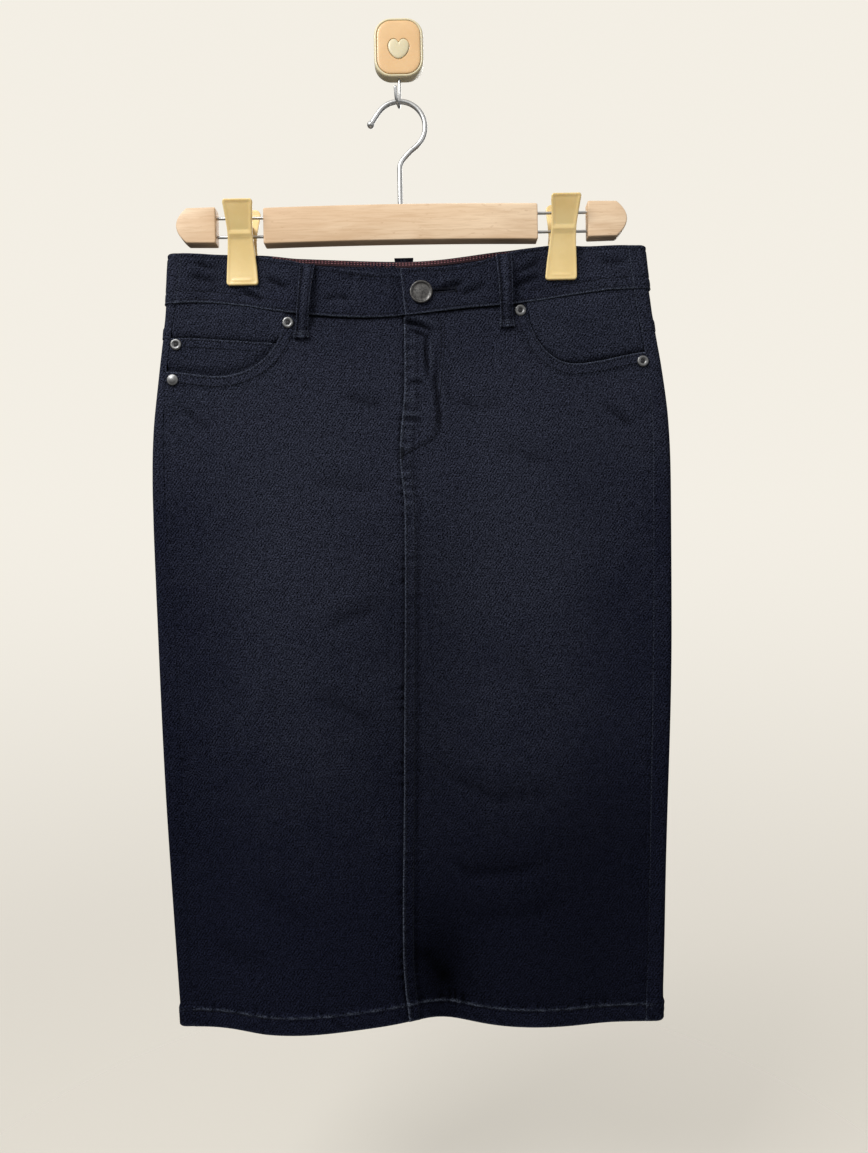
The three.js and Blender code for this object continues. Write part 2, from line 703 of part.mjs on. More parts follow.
// The zip and the shield behind it, hidden under the fly
function flyPiece(name, halfWidth, layer, colour) {
  const geometry = clothPiece({
    left: (d) => centreFront(d) - halfWidth,
    right: (d) => centreFront(d) + halfWidth,
    top: () => FLY.top,
    bottom: () => FLY.bottom,
    stops: evenly(4),
    rows: 5,
    thickness: POCKETING,
    lift: () => -layer,
  });
  return mesh(name, geometry, colour, 0.8);
}

// Turns a lathe profile's solid to stand out from the cloth at a place
function standOnCloth(geometry, x, depth, out) {
  const foot = skirtPoint(x, depth, out);
  const head = skirtPoint(x, depth, out + 1);
  const outward = head.clone().sub(foot).normalize();
  const turn = new THREE.Quaternion().setFromUnitVectors(new THREE.Vector3(0, 1, 0), outward);
  geometry.applyQuaternion(turn);
  geometry.translate(foot.x, foot.y, foot.z);
  return geometry;
}

function lathe(profile, segments) {
  const points = profile.map(([radius, height]) => new THREE.Vector2(radius, height));
  return asGeometry(asSolid(new THREE.LatheGeometry(points, segments)));
}

function button() {
  const { radius, shank, height, x, depth } = BUTTON;
  const capFoot = BAND + SEAM_GAP;
  const profile = [
    [0, 0],
    [shank, 0],
    [shank, capFoot],
    [radius - 1.6, capFoot],
    [radius, capFoot + 0.9],
    [radius, height - 0.6],
    [radius - 1, height],
    [radius - 2.2, height - 0.5],
    [0, height - 0.3],
  ];
  return mesh("button", standOnCloth(lathe(profile, 18), x, depth, 0), COLOURS.pewter, 0.4, 0.9);
}

function rivet({ name, x, depth, layer }) {
  const { radius, height } = RIVET;
  const foot = layer === "coin" ? 0 : DENIM + SEAM_GAP;
  const profile = [
    [0, 0],
    [radius, 0],
    [radius - 0.4, height * 0.7],
    [radius * 0.6, height],
    [0, height * 0.8],
  ];
  return mesh(name, standOnCloth(lathe(profile, 12), x, depth, foot), COLOURS.rivet, 0.35, 0.9);
}

// A block of wood from its outline in X and Z, with holes for the rods
function woodBlock(name, outline, holes) {
  const shape = new THREE.Shape(outline.map(([x, z]) => new THREE.Vector2(x, z)));
  const bevel = 0.8;
  const block = new THREE.ExtrudeGeometry(shape, {
    depth: BAR.thickness - 2 * bevel,
    bevelThickness: bevel,
    bevelSize: bevel,
    bevelOffset: -bevel,
    bevelSegments: 1,
    steps: 1,
  });
  block.rotateX(Math.PI / 2);
  block.translate(0, HANG_Y + BAR.thickness / 2 - bevel, 0);
  let solid = asSolid(block);
  for (const hole of holes) solid = solid.subtract(asSolid(hole));
  return mesh(name, asGeometry(solid), COLOURS.wood, 0.6);
}

const rodHeights = [ROD_MIDDLE_Z + ROD_SPACING / 2, ROD_MIDDLE_Z - ROD_SPACING / 2];

function crosswise(radius, from, to, z) {
  const rod = new THREE.CylinderGeometry(radius, radius, to - from, 12);
  rod.rotateZ(Math.PI / 2);
  rod.translate((from + to) / 2, HANG_Y, z);
  return rod;
}

function hangerBar() {
  const { half, top, height, arch } = BAR;
  const steps = 6;
  const bow = (x) => arch * (1 - (x / half) ** 2);
  const run = Array.from({ length: steps + 1 }, (_, i) => mix(-half, half, i / steps));
  const outline = [
    ...run.map((x) => [x, top - height - arch + bow(x)]),
    ...run.reverse().map((x) => [x, top - arch + bow(x)]),
  ];
  const bore = ROD_RADIUS + SEAM_GAP;
  const socketRadius = WIRE_RADIUS + SEAM_GAP;
  const socket = new THREE.CylinderGeometry(socketRadius, socketRadius, 2 * HOOK_SEAT, 12);
  socket.rotateX(Math.PI / 2);
  socket.translate(0, HANG_Y, top);
  const bores = rodHeights.flatMap((z) => [
    crosswise(bore, -half - 5, -half + BORE_DEPTH, z),
    crosswise(bore, half - BORE_DEPTH, half + 5, z),
  ]);
  return woodBlock("hanger_bar", outline, [...bores, socket]);
}

function endBlock(side) {
  const outward = side === "left" ? -1 : 1;
  const { inner, outer } = END_BLOCKS[side];
  const low = BAR.top - BAR.height;
  const middle = (BAR.top + low) / 2;
  const half = BAR.height / 2;
  const nose = 8;
  const curve = Array.from({ length: nose + 1 }, (_, i) => {
    const up = mix(-0.97, 0.97, i / nose);
    return [outward * (outer - END_BOW * up * up), middle + up * half];
  });
  const outline = [[outward * inner, low], ...curve, [outward * inner, BAR.top]];
  const ordered = side === "left" ? outline.reverse() : outline;
  const bore = ROD_RADIUS + SEAM_GAP;
  const bores = rodHeights.map((z) => {
    const seat = inner + ROD_SEAT + SEAM_GAP;
    const ends = [outward * (inner - 5), outward * seat].sort((a, b) => a - b);
    return crosswise(bore, ends[0], ends[1], z);
  });
  return woodBlock(`hanger_end_${side}`, ordered, bores);
}

function rods() {
  const made = [];
  for (const side of ["left", "right"]) {
    const outward = side === "left" ? -1 : 1;
    rodHeights.forEach((z, i) => {
      const far = END_BLOCKS[side].inner + ROD_SEAT;
      const ends = [outward * (BAR.half - BORE_DEPTH + SEAM_GAP), outward * far];
      ends.sort((a, b) => a - b);
      const name = `rod_${side}_${i === 0 ? "upper" : "lower"}`;
      const rod = crosswise(ROD_RADIUS, ends[0], ends[1], z);
      made.push(mesh(name, rod, COLOURS.steel, 0.25, 1));
    });
  }
  return made;
}

// A round wire along a smooth curve through points
function wire(points, radius, steps, sides) {
  const curve = new THREE.CatmullRomCurve3(points, false, "centripetal");
  const section = new THREE.Shape();
  for (let i = 0; i < sides; i += 1) {
    const angle = (2 * Math.PI * i) / sides;
    const [x, y] = [radius * Math.cos(angle), radius * Math.sin(angle)];
    if (i === 0) section.moveTo(x, y);
    else section.lineTo(x, y);
  }
  return new THREE.ExtrudeGeometry(section, { steps, extrudePath: curve, bevelEnabled: false });
}

// The hanger's hook: a stem, a knee, a slanting run and the crook, with a ball on its tip
function hangerHook() {
  const at = (x, z) => new THREE.Vector3(x, HANG_Y, z);
  const radians = (degrees) => (degrees * Math.PI) / 180;
  const onCrook = (angle) => {
    const a = radians(angle);
    return at(CROOK.x + CROOK.radius * Math.cos(a), CROOK.z + CROOK.radius * Math.sin(a));
  };
  const start = onCrook(CROOK.from);
  const points = [
    at(0, BAR.top - HOOK_SEAT + SEAM_GAP),
    at(0, BAR.top),
    at(0, HOOK_KNEE_Z - 9),
    at(0.2, HOOK_KNEE_Z - 3),
    at(2.2, HOOK_KNEE_Z + 1.5),
    at(start.x * 0.55, mix(HOOK_KNEE_Z, start.z, 0.58)),
  ];
  for (let angle = CROOK.from; angle <= CROOK.to; angle += 16) points.push(onCrook(angle));
  points.push(at(HOOK_TIP.x, HOOK_TIP.z));
  const ball = new THREE.SphereGeometry(HOOK_TIP.radius, 8, 6);
  ball.translate(HOOK_TIP.x, HANG_Y, HOOK_TIP.z);
  const solid = asSolid(wire(points, WIRE_RADIUS, 34, 8)).add(asSolid(ball));
  return mesh("hanger_hook", asGeometry(solid), COLOURS.steel, 0.25, 1);
}

// One arm of a clip: a tapered plate that leans out at its grip, with the block it rocks on
function clipArm(side, face) {
  const centre = CLIP_X[side];
  const toward = face === "front" ? -1 : 1;
  const rows = ARM.length - 1;
  const columns = 2;
  const point = (i, j, out) => {
    const { stand, half } = ARM[j];
    const up = ARM[j].up + (face === "back" && j < 2 ? BACK_ARM_RAISE : 0);
    const isEnd = j === 0 || j === rows;
    const across = mix(-half, half, i / columns) * (isEnd ? 0.93 : 1);
    return new THREE.Vector3(
      centre + CLIP_LEAN[side] * up + across,
      HANG_Y + toward * (stand + out * ARM_THICKNESS),
      ROD_MIDDLE_Z + up,
    );
  };
  const plate = gridSolid(columns, rows, (i, j) => point(i, j, 1), (i, j) => point(i, j, 0));
  const reach = 11;
  const half = SEAM_GAP / 2;
  const block = new THREE.BoxGeometry(FULCRUM.width, reach - half, 2 * FULCRUM.half);
  block.translate(centre, HANG_Y + toward * (half + (reach - half) / 2), ROD_MIDDLE_Z);
  const trim = gridSolid(
    columns,
    rows,
    (i, j) => point(i, j, 12).setX(centre + mix(-20, 20, i / columns)),
    (i, j) => point(i, j, 0.5).setX(centre + mix(-20, 20, i / columns)),
  );
  const solid = asSolid(block).subtract(asSolid(trim)).add(asSolid(plate));
  return mesh(`clip_${side}_${face}`, asGeometry(solid), COLOURS.clip, 0.4);
}

function roundedRectangle(width, height, corner) {
  const shape = new THREE.Shape();
  const [x, y, r] = [width / 2, height / 2, corner];
  shape.moveTo(-x + r, -y);
  shape.lineTo(x - r, -y);
  shape.absarc(x - r, -y + r, r, -Math.PI / 2, 0);
  shape.lineTo(x, y - r);
  shape.absarc(x - r, y - r, r, 0, Math.PI / 2);
  shape.lineTo(-x + r, y);
  shape.absarc(-x + r, y - r, r, Math.PI / 2, Math.PI);
  shape.lineTo(-x, -y + r);
  shape.absarc(-x + r, -y + r, r, Math.PI, 1.5 * Math.PI);
  return shape;
}

// A plump heart, scaled to a width and height
function heartShape(width, height) {
  const right = HEART_HALF.map(([x, z]) => new THREE.Vector3(x * width, z * height, 0));
  const left = HEART_HALF.slice(1, -1).map(([x, z]) => new THREE.Vector3(-x * width, z * height, 0));
  const outline = new THREE.CatmullRomCurve3([...right, ...left.reverse()], true);
  const points = outline.getPoints(36).slice(0, -1);
  return new THREE.Shape(points.map((point) => new THREE.Vector2(point.x, HEART.z + point.y)));
}

// A slab in front of the wall: its outline extruded from one distance to another
function slab(shape, from, to, bevel, bevelSegments = 1) {
  const geometry = new THREE.ExtrudeGeometry(shape, {
    depth: to - from - 2 * bevel,
    bevelEnabled: bevel > 0,
    bevelThickness: bevel,
    bevelSize: bevel,
    bevelOffset: -bevel,
    bevelSegments,
    curveSegments: 4,
  });
  geometry.rotateX(Math.PI / 2);
  geometry.translate(0, -from - bevel, 0);
  return geometry;
}

function wallHook() {
  const { width, height, thickness, corner, rim, recess } = PLATE;
  const bevel = 1.6;
  const outline = roundedRectangle(width, height, corner);
  // The bevel at the wall's side is cut off flat, which leaves the back face on y = 0
  const body = asSolid(slab(outline, -bevel, thickness, bevel, 2));
  const behindWall = new THREE.BoxGeometry(80, 10, 80);
  behindWall.translate(0, 5, 0);
  const inset = 2 * rim;
  const well = roundedRectangle(width - inset, height - inset, corner - rim);
  const wellCut = asSolid(slab(well, thickness - recess, thickness + 2, 0));
  const path = wallWirePath();
  const socketRadius = WALL_WIRE_RADIUS + SEAM_GAP;
  const socket = new THREE.CylinderGeometry(socketRadius, socketRadius, 16, 10);
  socket.rotateX(Math.PI / 2);
  socket.translate(0, path[0].y, path[0].z + SEAM_GAP - 8);
  const low = asSolid(socket);
  const plate = body.subtract(asSolid(behindWall)).subtract(wellCut).subtract(low);
  const play = inset + 2 * SEAM_GAP;
  const lid = roundedRectangle(width - play, height - play, corner - rim - SEAM_GAP);
  const lidFrom = thickness - recess + SEAM_GAP;
  const lidTo = thickness + 0.2;
  const heartCut = slab(heartShape(HEART.width, HEART.height), lidTo - HEART.depth, 20, 0);
  const cover = asSolid(slab(lid, lidFrom, lidTo, 0.4)).subtract(asSolid(heartCut));
  const small = heartShape(HEART.width - 2 * SEAM_GAP, HEART.height - 2 * SEAM_GAP);
  const heartFrom = lidTo - HEART.depth + SEAM_GAP;
  const heart = slab(small, heartFrom, heartFrom + HEART.thickness, 0);
  return [
    mesh("wall_hook_plate", asGeometry(plate), COLOURS.plate, 0.4),
    mesh("wall_hook_cover", asGeometry(cover), COLOURS.cover, 0.35),
    mesh("wall_hook_heart", heart, COLOURS.plate, 0.4),
    mesh("wall_hook_wire", wire(path, WALL_WIRE_RADIUS, 22, 8), COLOURS.steel, 0.3, 1),
  ];
}

// The wall hook's wire comes down out of the plate and turns up in front, under the crook
function wallWirePath() {
  const lowZ = CROOK.z + CROOK.radius - WIRE_RADIUS - SEAM_GAP - WALL_WIRE_RADIUS;
  // The part that turns up in front leans to the left
  const at = (y, z) => new THREE.Vector3(-2.6 * smooth(-18, -29, y), y, z);
  const bendRadius = 6.5;
  const bend = (degrees) => {
    const a = (degrees * Math.PI) / 180;
    return at(
      HANG_Y - bendRadius * Math.sin(a),
      lowZ + bendRadius - bendRadius * Math.cos(a),
    );
  };
  return [
    at(-5.6, -PLATE.height / 2 + 6),
    at(-5.6, -PLATE.height / 2 - 3),
    at(-7.4, lowZ + 15),
    at(-11.6, lowZ + 6),
    ...[-45, -20, 0, 25, 50, 72].map(bend),
    at(HANG_Y - bendRadius - 1.2, lowZ + 11),
  ];
}

const skirt = new THREE.Group();
skirt.add(frontPanel("left"), frontPanel("right"));
skirt.add(pocketFacing("left"), pocketFacing("right"), coinPocket());
skirt.add(pocketBag("left"), pocketBag("right"));
skirt.add(yoke("left"), yoke("right"), backPanel("left"), backPanel("right"));
skirt.add(bandFrontLeft(), bandFrontRight(), bandBack());
for (const loop of FRONT_LOOPS) skirt.add(frontLoop(loop));
for (const loop of BACK_LOOPS) skirt.add(backLoop(loop));
skirt.add(flyPiece("fly_zip", FLY.zipWidth / 2, POCKETING + LAYER_GAP, COLOURS.zip));
skirt.add(flyPiece("fly_shield", FLY.width / 2, 2 * (POCKETING + LAYER_GAP), COLOURS.denim));
skirt.add(button());
for (const place of RIVETS) skirt.add(rivet(place));

const hanger = new THREE.Group();
hanger.add(hangerBar(), endBlock("left"), endBlock("right"), ...rods(), hangerHook());
for (const side of ["left", "right"]) {
  hanger.add(clipArm(side, "front"), clipArm(side, "back"));
}

hanger.position.x = HANGER_X;

const hook = new THREE.Group();
hook.add(...wallHook());

const part = new THREE.Group();
part.add(skirt, hanger, hook);

export default part;
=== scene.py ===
# %% [markdown]
# # A denim skirt on its hanger
# The real thing is a knee-length pencil skirt in washed navy denim. Two sliding clips hold it
# to a maple hanger, and the hanger hangs on a small stick-on wall hook.
# The CAD frame fixes where each piece goes. This lesson gives each piece its true surface:
# thin cloth with seams, puckers and stitches, turned wood, bent wire and moulded plastic.

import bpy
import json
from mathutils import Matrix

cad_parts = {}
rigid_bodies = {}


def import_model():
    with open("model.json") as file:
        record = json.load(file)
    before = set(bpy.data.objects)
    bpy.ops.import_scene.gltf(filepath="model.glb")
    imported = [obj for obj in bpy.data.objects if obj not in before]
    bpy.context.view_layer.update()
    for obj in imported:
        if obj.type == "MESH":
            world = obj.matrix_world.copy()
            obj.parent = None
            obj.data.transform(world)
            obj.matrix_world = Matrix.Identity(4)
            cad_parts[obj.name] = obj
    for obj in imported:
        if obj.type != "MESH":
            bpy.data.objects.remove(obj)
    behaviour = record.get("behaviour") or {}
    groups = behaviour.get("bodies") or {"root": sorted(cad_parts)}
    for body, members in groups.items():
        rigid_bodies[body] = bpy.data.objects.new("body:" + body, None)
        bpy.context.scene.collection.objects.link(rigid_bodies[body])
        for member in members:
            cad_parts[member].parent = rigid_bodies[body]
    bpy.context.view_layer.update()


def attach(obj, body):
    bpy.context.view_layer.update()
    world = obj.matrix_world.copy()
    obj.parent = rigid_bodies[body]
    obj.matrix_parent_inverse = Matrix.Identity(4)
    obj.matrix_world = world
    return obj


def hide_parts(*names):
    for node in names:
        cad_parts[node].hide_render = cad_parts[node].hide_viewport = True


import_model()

# %% Tools of the lesson
import json
import math

import bpy
import numpy as np
from mathutils import Matrix, Vector
from mathutils.kdtree import KDTree

MM = 0.001  # the skirt is worked out in millimetres, and Blender takes metres

# %% [markdown]
# ## The camera and the studio
# The photograph was taken from straight in front, a little below the middle of the object and
# with the camera rolled by one degree. A wide lens at 0.7 m gives the same perspective.
# The studio is a pale floor that fades out into a pale surrounding, one large soft lamp from
# the upper left, as a window would be, and weak ones on the other sides.

# %% Camera
camera = bpy.data.objects.new("camera", bpy.data.cameras.new("camera"))
camera.data.lens = 27.12
camera.data.sensor_width = 36
camera.data.clip_start = 0.01
camera_place = Matrix.Translation((0.0213, -0.715, -0.4303))
camera_turn = Matrix.Rotation(math.radians(90), 4, "X") @ Matrix.Rotation(math.radians(-1), 4, "Z")
camera.matrix_world = camera_place @ camera_turn
bpy.context.scene.collection.objects.link(camera)
bpy.context.scene.camera = camera
bpy.context.scene.view_settings.view_transform = "Standard"


# %% Lamps
def soft_lamp(name, place, aim, size, power, colour):
    """A square area lamp that points from one place to another."""
    data = bpy.data.lights.new(name, "AREA")
    data.size = size
    data.energy = power
    data.color = colour
    lamp = bpy.data.objects.new(name, data)
    lamp.location = place
    lamp.rotation_mode = "QUATERNION"
    lamp.rotation_quaternion = (Vector(aim) - Vector(place)).to_track_quat("-Z", "Y")
    bpy.context.scene.collection.objects.link(lamp)
    return lamp


soft_lamp("window", (-0.95, -1.15, 0.95), (0, 0, -0.2), 0.8, 38.5, (1.0, 0.985, 0.95))
soft_lamp("fill", (1.6, -1.5, -0.1), (0, 0, -0.35), 1.2, 5, (0.97, 0.98, 1.0))
soft_lamp("behind", (0.6, 1.7, 0.6), (0, 0, -0.35), 1.4, 20, (1.0, 0.99, 0.97))


# %% [markdown]
# ## Shader maths as Python
# A material is a tree of nodes. Written out node by node it is long and hard to read, so two
# small classes do the wiring: a Wire is one output, and sums and products of wires add Math
# nodes; a Recipe is one tree, and its node method adds any other node.

# %% Wires and recipes
class Wire:
    """An output socket. Arithmetic on wires adds Math nodes behind the scenes."""

    def __init__(self, recipe, plug):
        self.recipe = recipe
        self.plug = plug

    def maths(self, operation, *inputs):
        return self.recipe.node("ShaderNodeMath", {"operation": operation}, dict(enumerate(inputs)))

    def __add__(self, other):
        return self.maths("ADD", self, other)

    def __sub__(self, other):
        return self.maths("SUBTRACT", self, other)

    def __rsub__(self, other):
        return self.maths("SUBTRACT", other, self)

    def __mul__(self, other):
        return self.maths("MULTIPLY", self, other)

    __radd__ = __add__
    __rmul__ = __mul__

    def sine(self):
        return self.maths("SINE", self)

    def ease(self, low, high):
        """0 below low, 1 above high, and a soft step between."""
        sockets = {"Value": self, "From Min": low, "From Max": high}
        return self.recipe.node("ShaderNodeMapRange", {"interpolation_type": "SMOOTHSTEP"}, sockets)


class Recipe:
    """A node tree with one method that adds a node."""

    def __init__(self, tree):
        self.tree = tree
        self.tree.nodes.clear()

    def node(self, kind, settings=None, sockets=None, output=0):
        made = self.tree.nodes.new(kind)
        for key, value in (settings or {}).items():
            setattr(made, key, value)
        for key, value in (sockets or {}).items():
            if isinstance(value, Wire):
                self.tree.links.new(value.plug, made.inputs[key])
            else:
                made.inputs[key].default_value = value
        if not made.outputs:
            return None
        return Wire(self, made.outputs[output])

    def parts(self, vector):
        """The three numbers of a vector, each as a wire."""
        split = self.node("ShaderNodeSeparateXYZ", None, {0: vector}).plug.node
        return [Wire(self, plug) for plug in split.outputs]

    def vector(self, x, y, z):
        return self.node("ShaderNodeCombineXYZ", None, {0: x, 1: y, 2: z})

    def blend(self, first, second, share, way="MIX"):
        """Two colours mixed by a share from 0 to 1."""
        settings = {"data_type": "RGBA", "blend_type": way, "clamp_factor": True}
        return self.node("ShaderNodeMix", settings, {0: share, 6: first, 7: second}, output=2)

    def noise(self, vector, scale, detail=3.0, roughness=0.55):
        sockets = {"Vector": vector, "Scale": scale, "Detail": detail, "Roughness": roughness}
        return self.node("ShaderNodeTexNoise", None, sockets)

    def bump(self, height, distance, strength=1.0):
        sockets = {"Height": height, "Distance": distance, "Strength": strength}
        return self.node("ShaderNodeBump", None, sockets)


def rgb(red, green, blue):
    return (red, green, blue, 1.0)


def new_material(name):
    material = bpy.data.materials.new(name)
    material.use_nodes = True
    return material, Recipe(material.node_tree)


def finish_material(recipe, sockets):
    """The one shader of a material, and its output."""
    shader = recipe.node("ShaderNodeBsdfPrincipled", None, sockets)
    recipe.node("ShaderNodeOutputMaterial", None, {"Surface": shader})


# %% [markdown]
# The surrounding is what lights the shadows and what metal reflects. It is brighter above and
# to the left, and dimmer below, so that the wires get a bright and a dark side. What the
# camera sees of it is a pale tone that darkens towards the bottom: painted shade, as on a wall.

# %% Surrounding
world = bpy.data.worlds.new("studio")
world.use_nodes = True
bpy.context.scene.world = world
studio = Recipe(world.node_tree)
looks_to = studio.node("ShaderNodeTexCoord", None, None, output=0)
_, deep_way, up_way = studio.parts(looks_to)
ahead = (0.0 - deep_way).ease(-0.15, 0.85)
glow = 0.10 + 0.34 * up_way.ease(-0.3, 0.9) + 0.50 * ahead * up_way.ease(-0.8, 0.7)
lit_tone = studio.blend(rgb(0.0, 0.0, 0.0), rgb(1.0, 0.97, 0.92), glow)
# Painted shade: the tone the camera sees darkens towards the bottom, as light falls off down a wall.
seen_tone_with_painted_shade = studio.blend(rgb(0.66, 0.62, 0.55), rgb(0.90, 0.86, 0.78), up_way.ease(-0.62, 0.10))
is_seen = studio.node("ShaderNodeLightPath", None, None, output=0)
light = studio.blend(lit_tone, seen_tone_with_painted_shade, is_seen)
background = studio.node("ShaderNodeBackground", None, {"Color": light, "Strength": 1.0})
studio.node("ShaderNodeOutputWorld", None, {"Surface": background})

# %% Floor
FLOOR_Z = -1.0
FLOOR_RADIUS = 2.4

floor_mesh = bpy.data.meshes.new("floor")
ring = [(math.cos(a), math.sin(a), 0) for a in np.linspace(0, 2 * math.pi, 64, endpoint=False)]
floor_points = [(FLOOR_RADIUS * x, FLOOR_RADIUS * y, FLOOR_Z) for x, y, z in ring]
floor_mesh.from_pydata(floor_points, [], [list(range(64))])
floor = bpy.data.objects.new("floor", floor_mesh)
bpy.context.scene.collection.objects.link(floor)

floor_material, paper = new_material("pale floor")
floor_place = paper.node("ShaderNodeNewGeometry", None, None, output=0)
away = paper.node("ShaderNodeVectorMath", {"operation": "LENGTH"}, {0: floor_place}, output=1)
plain = paper.node("ShaderNodeBsdfDiffuse", None, {"Color": rgb(0.76, 0.735, 0.68)})
clear = paper.node("ShaderNodeBsdfTransparent")
faded = paper.node("ShaderNodeMixShader", None, {0: away.ease(0.45, 1.5), 1: plain, 2: clear})
paper.node("ShaderNodeOutputMaterial", None, {"Surface": faded})
floor_mesh.materials.append(floor_material)
print("floor at", FLOOR_Z, "m, fading out at", FLOOR_RADIUS, "m")

# %% [markdown]
# ## The skirt's own surface
# A skirt on a hanger is a flattened tube. One rule gives every point of it: go round by a
# distance called the girth, down by a depth, and out through the cloth. All the pieces share
# this rule, so their seams meet, and the same rule places stitches, rivets and the button.
# The tables below are the cut: how wide the tube is, where the seams run, how it hangs.

# %% The cut in numbers
SKIRT_LENGTH = 613.5  # waist edge at the side to hem
SKIRT_X = 5.1  # the skirt's middle, from the wall hook's
WAIST_Z = -170.7
HANG_Y = -20.0
FOLD_RADIUS = 5.0
DENIM = 1.2
POCKETING = 1.0
BAND = 2.4
HEM_THICK = 2.4
HEM_DEPTH = 15.0
SEAM_GAP = 0.3
JOIN = -0.06  # sewn edges press together, so no light comes through a seam
LAYER_GAP = 0.6
LAYER = DENIM + LAYER_GAP  # from one layer of denim to the next
PANEL_TOP = 46  # about where a front panel starts, below the top of the waistband
HANGER_X = -0.4
CLIP_X = {"left": -126.9, "right": 129.5}
CLIP_DEPTH = 26.0
CENTRE_BACK_X = -3.0

OUTLINE = {
    "at": [-10, 50, 95, 140, 190, 300, 420, 540, 625],
    "half": [189, 194.4, 200.5, 205, 206.5, 205, 201, 196, 191],
    "middle": [-0.8, -0.6, 0, 0, 0, 0, 0, 0, 0],
}
SIDE_SEAMS = {
    "at": [-10, 80, 190, 320, 625],
    "left": [11, 6, 9.5, 14, 11],
    "right": [14, 11, 14, 14.5, 13],
}
CENTRE_FRONT = {
    "at": [-10, 110, 162, 205, 420, 560, 625],
    "x": [-3, -4.5, -9, -6, -10.5, -14, -9.5],
}
WAIST_SEAM = {
    "at": [-200, -160, -130, -105, -73, -38, 0, 25, 50, 80, 105, 135, 160, 200],
    "depth": [40.5, 39, 42, 46.8, 50.8, 53.3, 52.3, 49.8, 47, 44.8, 41.5, 36.8, 34.6, 34],
}
FRONT_FOLDS = [(-96, 62, 0, 5, 17), (92, 50, 0, 4, 9.5), (16, 30, 2, 2, -12)]
BACK_FOLDS = [(-70, 95, 1, 5, 8), (80, 95, 1, 5, 8)]
HIP_DEPTH = 200


# %% Rules of the shape
def smooth(low, high, value):
    """0 below low, 1 above high, and a soft step between."""
    share = np.clip((np.asarray(value, float) - low) / (high - low), 0, 1)
    return share * share * (3 - 2 * share)


def mix(a, b, share):
    return a + (b - a) * share


def bell(distance, width):
    """1 at no distance, and softly down to nothing over about two widths."""
    return np.exp(-((distance / width) ** 2))


def read(table, column, place):
    """A smooth curve through one column of a table."""
    keys = np.array(table["at"], float)
    values = np.array(table[column], float)
    rows = np.arange(len(keys))
    before = np.maximum(rows - 1, 0)
    after = np.minimum(rows + 1, len(keys) - 1)
    slope = (values[after] - values[before]) / (keys[after] - keys[before])
    place = np.asarray(place, float)
    row = np.clip(np.searchsorted(keys, place) - 1, 0, len(keys) - 2)
    span = keys[row + 1] - keys[row]
    t = np.clip((place - keys[row]) / span, 0, 1)
    value = mix(values[row], values[row + 1], t * t * (3 - 2 * t))
    value = value + t * (1 - t) * (1 - t) * span * slope[row]
    return value + t * t * (t - 1) * span * slope[row + 1]


def folds(table, x, depth):
    """How far the soft vertical folds stand out."""
    total = 0
    for centre, spread, waist, hip, hem_height in table:
        upper = mix(waist, hip, smooth(30, HIP_DEPTH, depth))
        height = mix(upper, hem_height, smooth(HIP_DEPTH, SKIRT_LENGTH, depth))
        total = total + height * bell(x - centre, spread)
    return total


def pinch(x, depth):
    """1 where a clip presses front and back together."""
    clip_x = np.where(x < 0, CLIP_X["left"], CLIP_X["right"])
    distance = np.abs(SKIRT_X + x - HANGER_X - clip_x)
    return (1 - smooth(14, 46, distance)) * (1 - smooth(CLIP_DEPTH + 1, CLIP_DEPTH + 29, depth))


def flat_half(depth):
    return read(OUTLINE, "half", depth) - DENIM - FOLD_RADIUS


def half_girth(depth):
    return 2 * flat_half(depth) + math.pi * FOLD_RADIUS


def shell(girth, depth):
    """The inner face of the cloth: sideways place, and place from front to back."""
    side = np.where(girth < 0, -1.0, 1.0)
    flat = flat_half(depth)
    past = np.abs(girth) - flat
    turn = np.clip(past / FOLD_RADIUS, 0, math.pi)
    on_back = turn >= math.pi
    x = side * (flat + FOLD_RADIUS * np.sin(turn) + np.minimum(past, 0))
    x = np.where(on_back, x - side * (past - math.pi * FOLD_RADIUS), x)
    out = FOLD_RADIUS * np.cos(turn)
    inside = smooth(0, 70, flat - np.abs(x))
    out = out + np.where(turn == 0, inside * folds(FRONT_FOLDS, x, depth), 0)
    out = out - np.where(on_back, inside * folds(BACK_FOLDS, x, depth), 0)
    squeezed = pinch(x, depth)
    return x, -mix(out, np.sign(out) * SEAM_GAP, squeezed)


def skirt_point(girth, depth, out):
    """A point of the skirt in millimetres, moved out through the cloth."""
    here_x, here_y = shell(girth, depth)
    before_x, before_y = shell(girth - 0.5, depth)
    after_x, after_y = shell(girth + 0.5, depth)
    along_x, along_y = after_x - before_x, after_y - before_y
    length = np.hypot(along_x, along_y)
    x = SKIRT_X + read(OUTLINE, "middle", depth) + here_x + along_y / length * out
    y = HANG_Y + here_y - along_x / length * out
    return np.stack(np.broadcast_arrays(x, y, WAIST_Z - depth), axis=-1)


# %% Where the seams run
def back_girth(x, depth):
    return np.where(np.asarray(x) < 0, -1, 1) * (half_girth(depth) - np.abs(x))


def seam_girth(side, depth):
    edge = read(OUTLINE, "half", depth) - DENIM - read(SIDE_SEAMS, side, depth)
    return -edge if side == "left" else edge


def centre_front(depth):
    return read(CENTRE_FRONT, "x", depth)


def waist_rise(x):
    return 3 * bell(x - 105, 50)


WAIST_DIP = {
    "at": [0, 20, 35, 55, 75, 100, 125, 145, 200],
    "dip": [20, 19, 17.1, 14.3, 11.3, 5.6, 1.2, 0, 0],
}


def front_top(x):
    left = read(WAIST_DIP, "dip", np.abs(x))
    right = 15.5 * (1 - smooth(26, 122, np.abs(x)))
    return np.where(np.asarray(x) < -3, left, right) - waist_rise(x)


def back_dip(x):
    reach = np.where(np.asarray(x) < 0, 125.0, 90.0)
    return 5 * (1 - smooth(0, 1, np.abs(x) / reach))


def back_top(x):
    return back_dip(x) - waist_rise(x)


def front_seam(x):
    return read(WAIST_SEAM, "depth", x)


def back_seam(x):
    return back_dip(x) + 37 - 0.015 * x


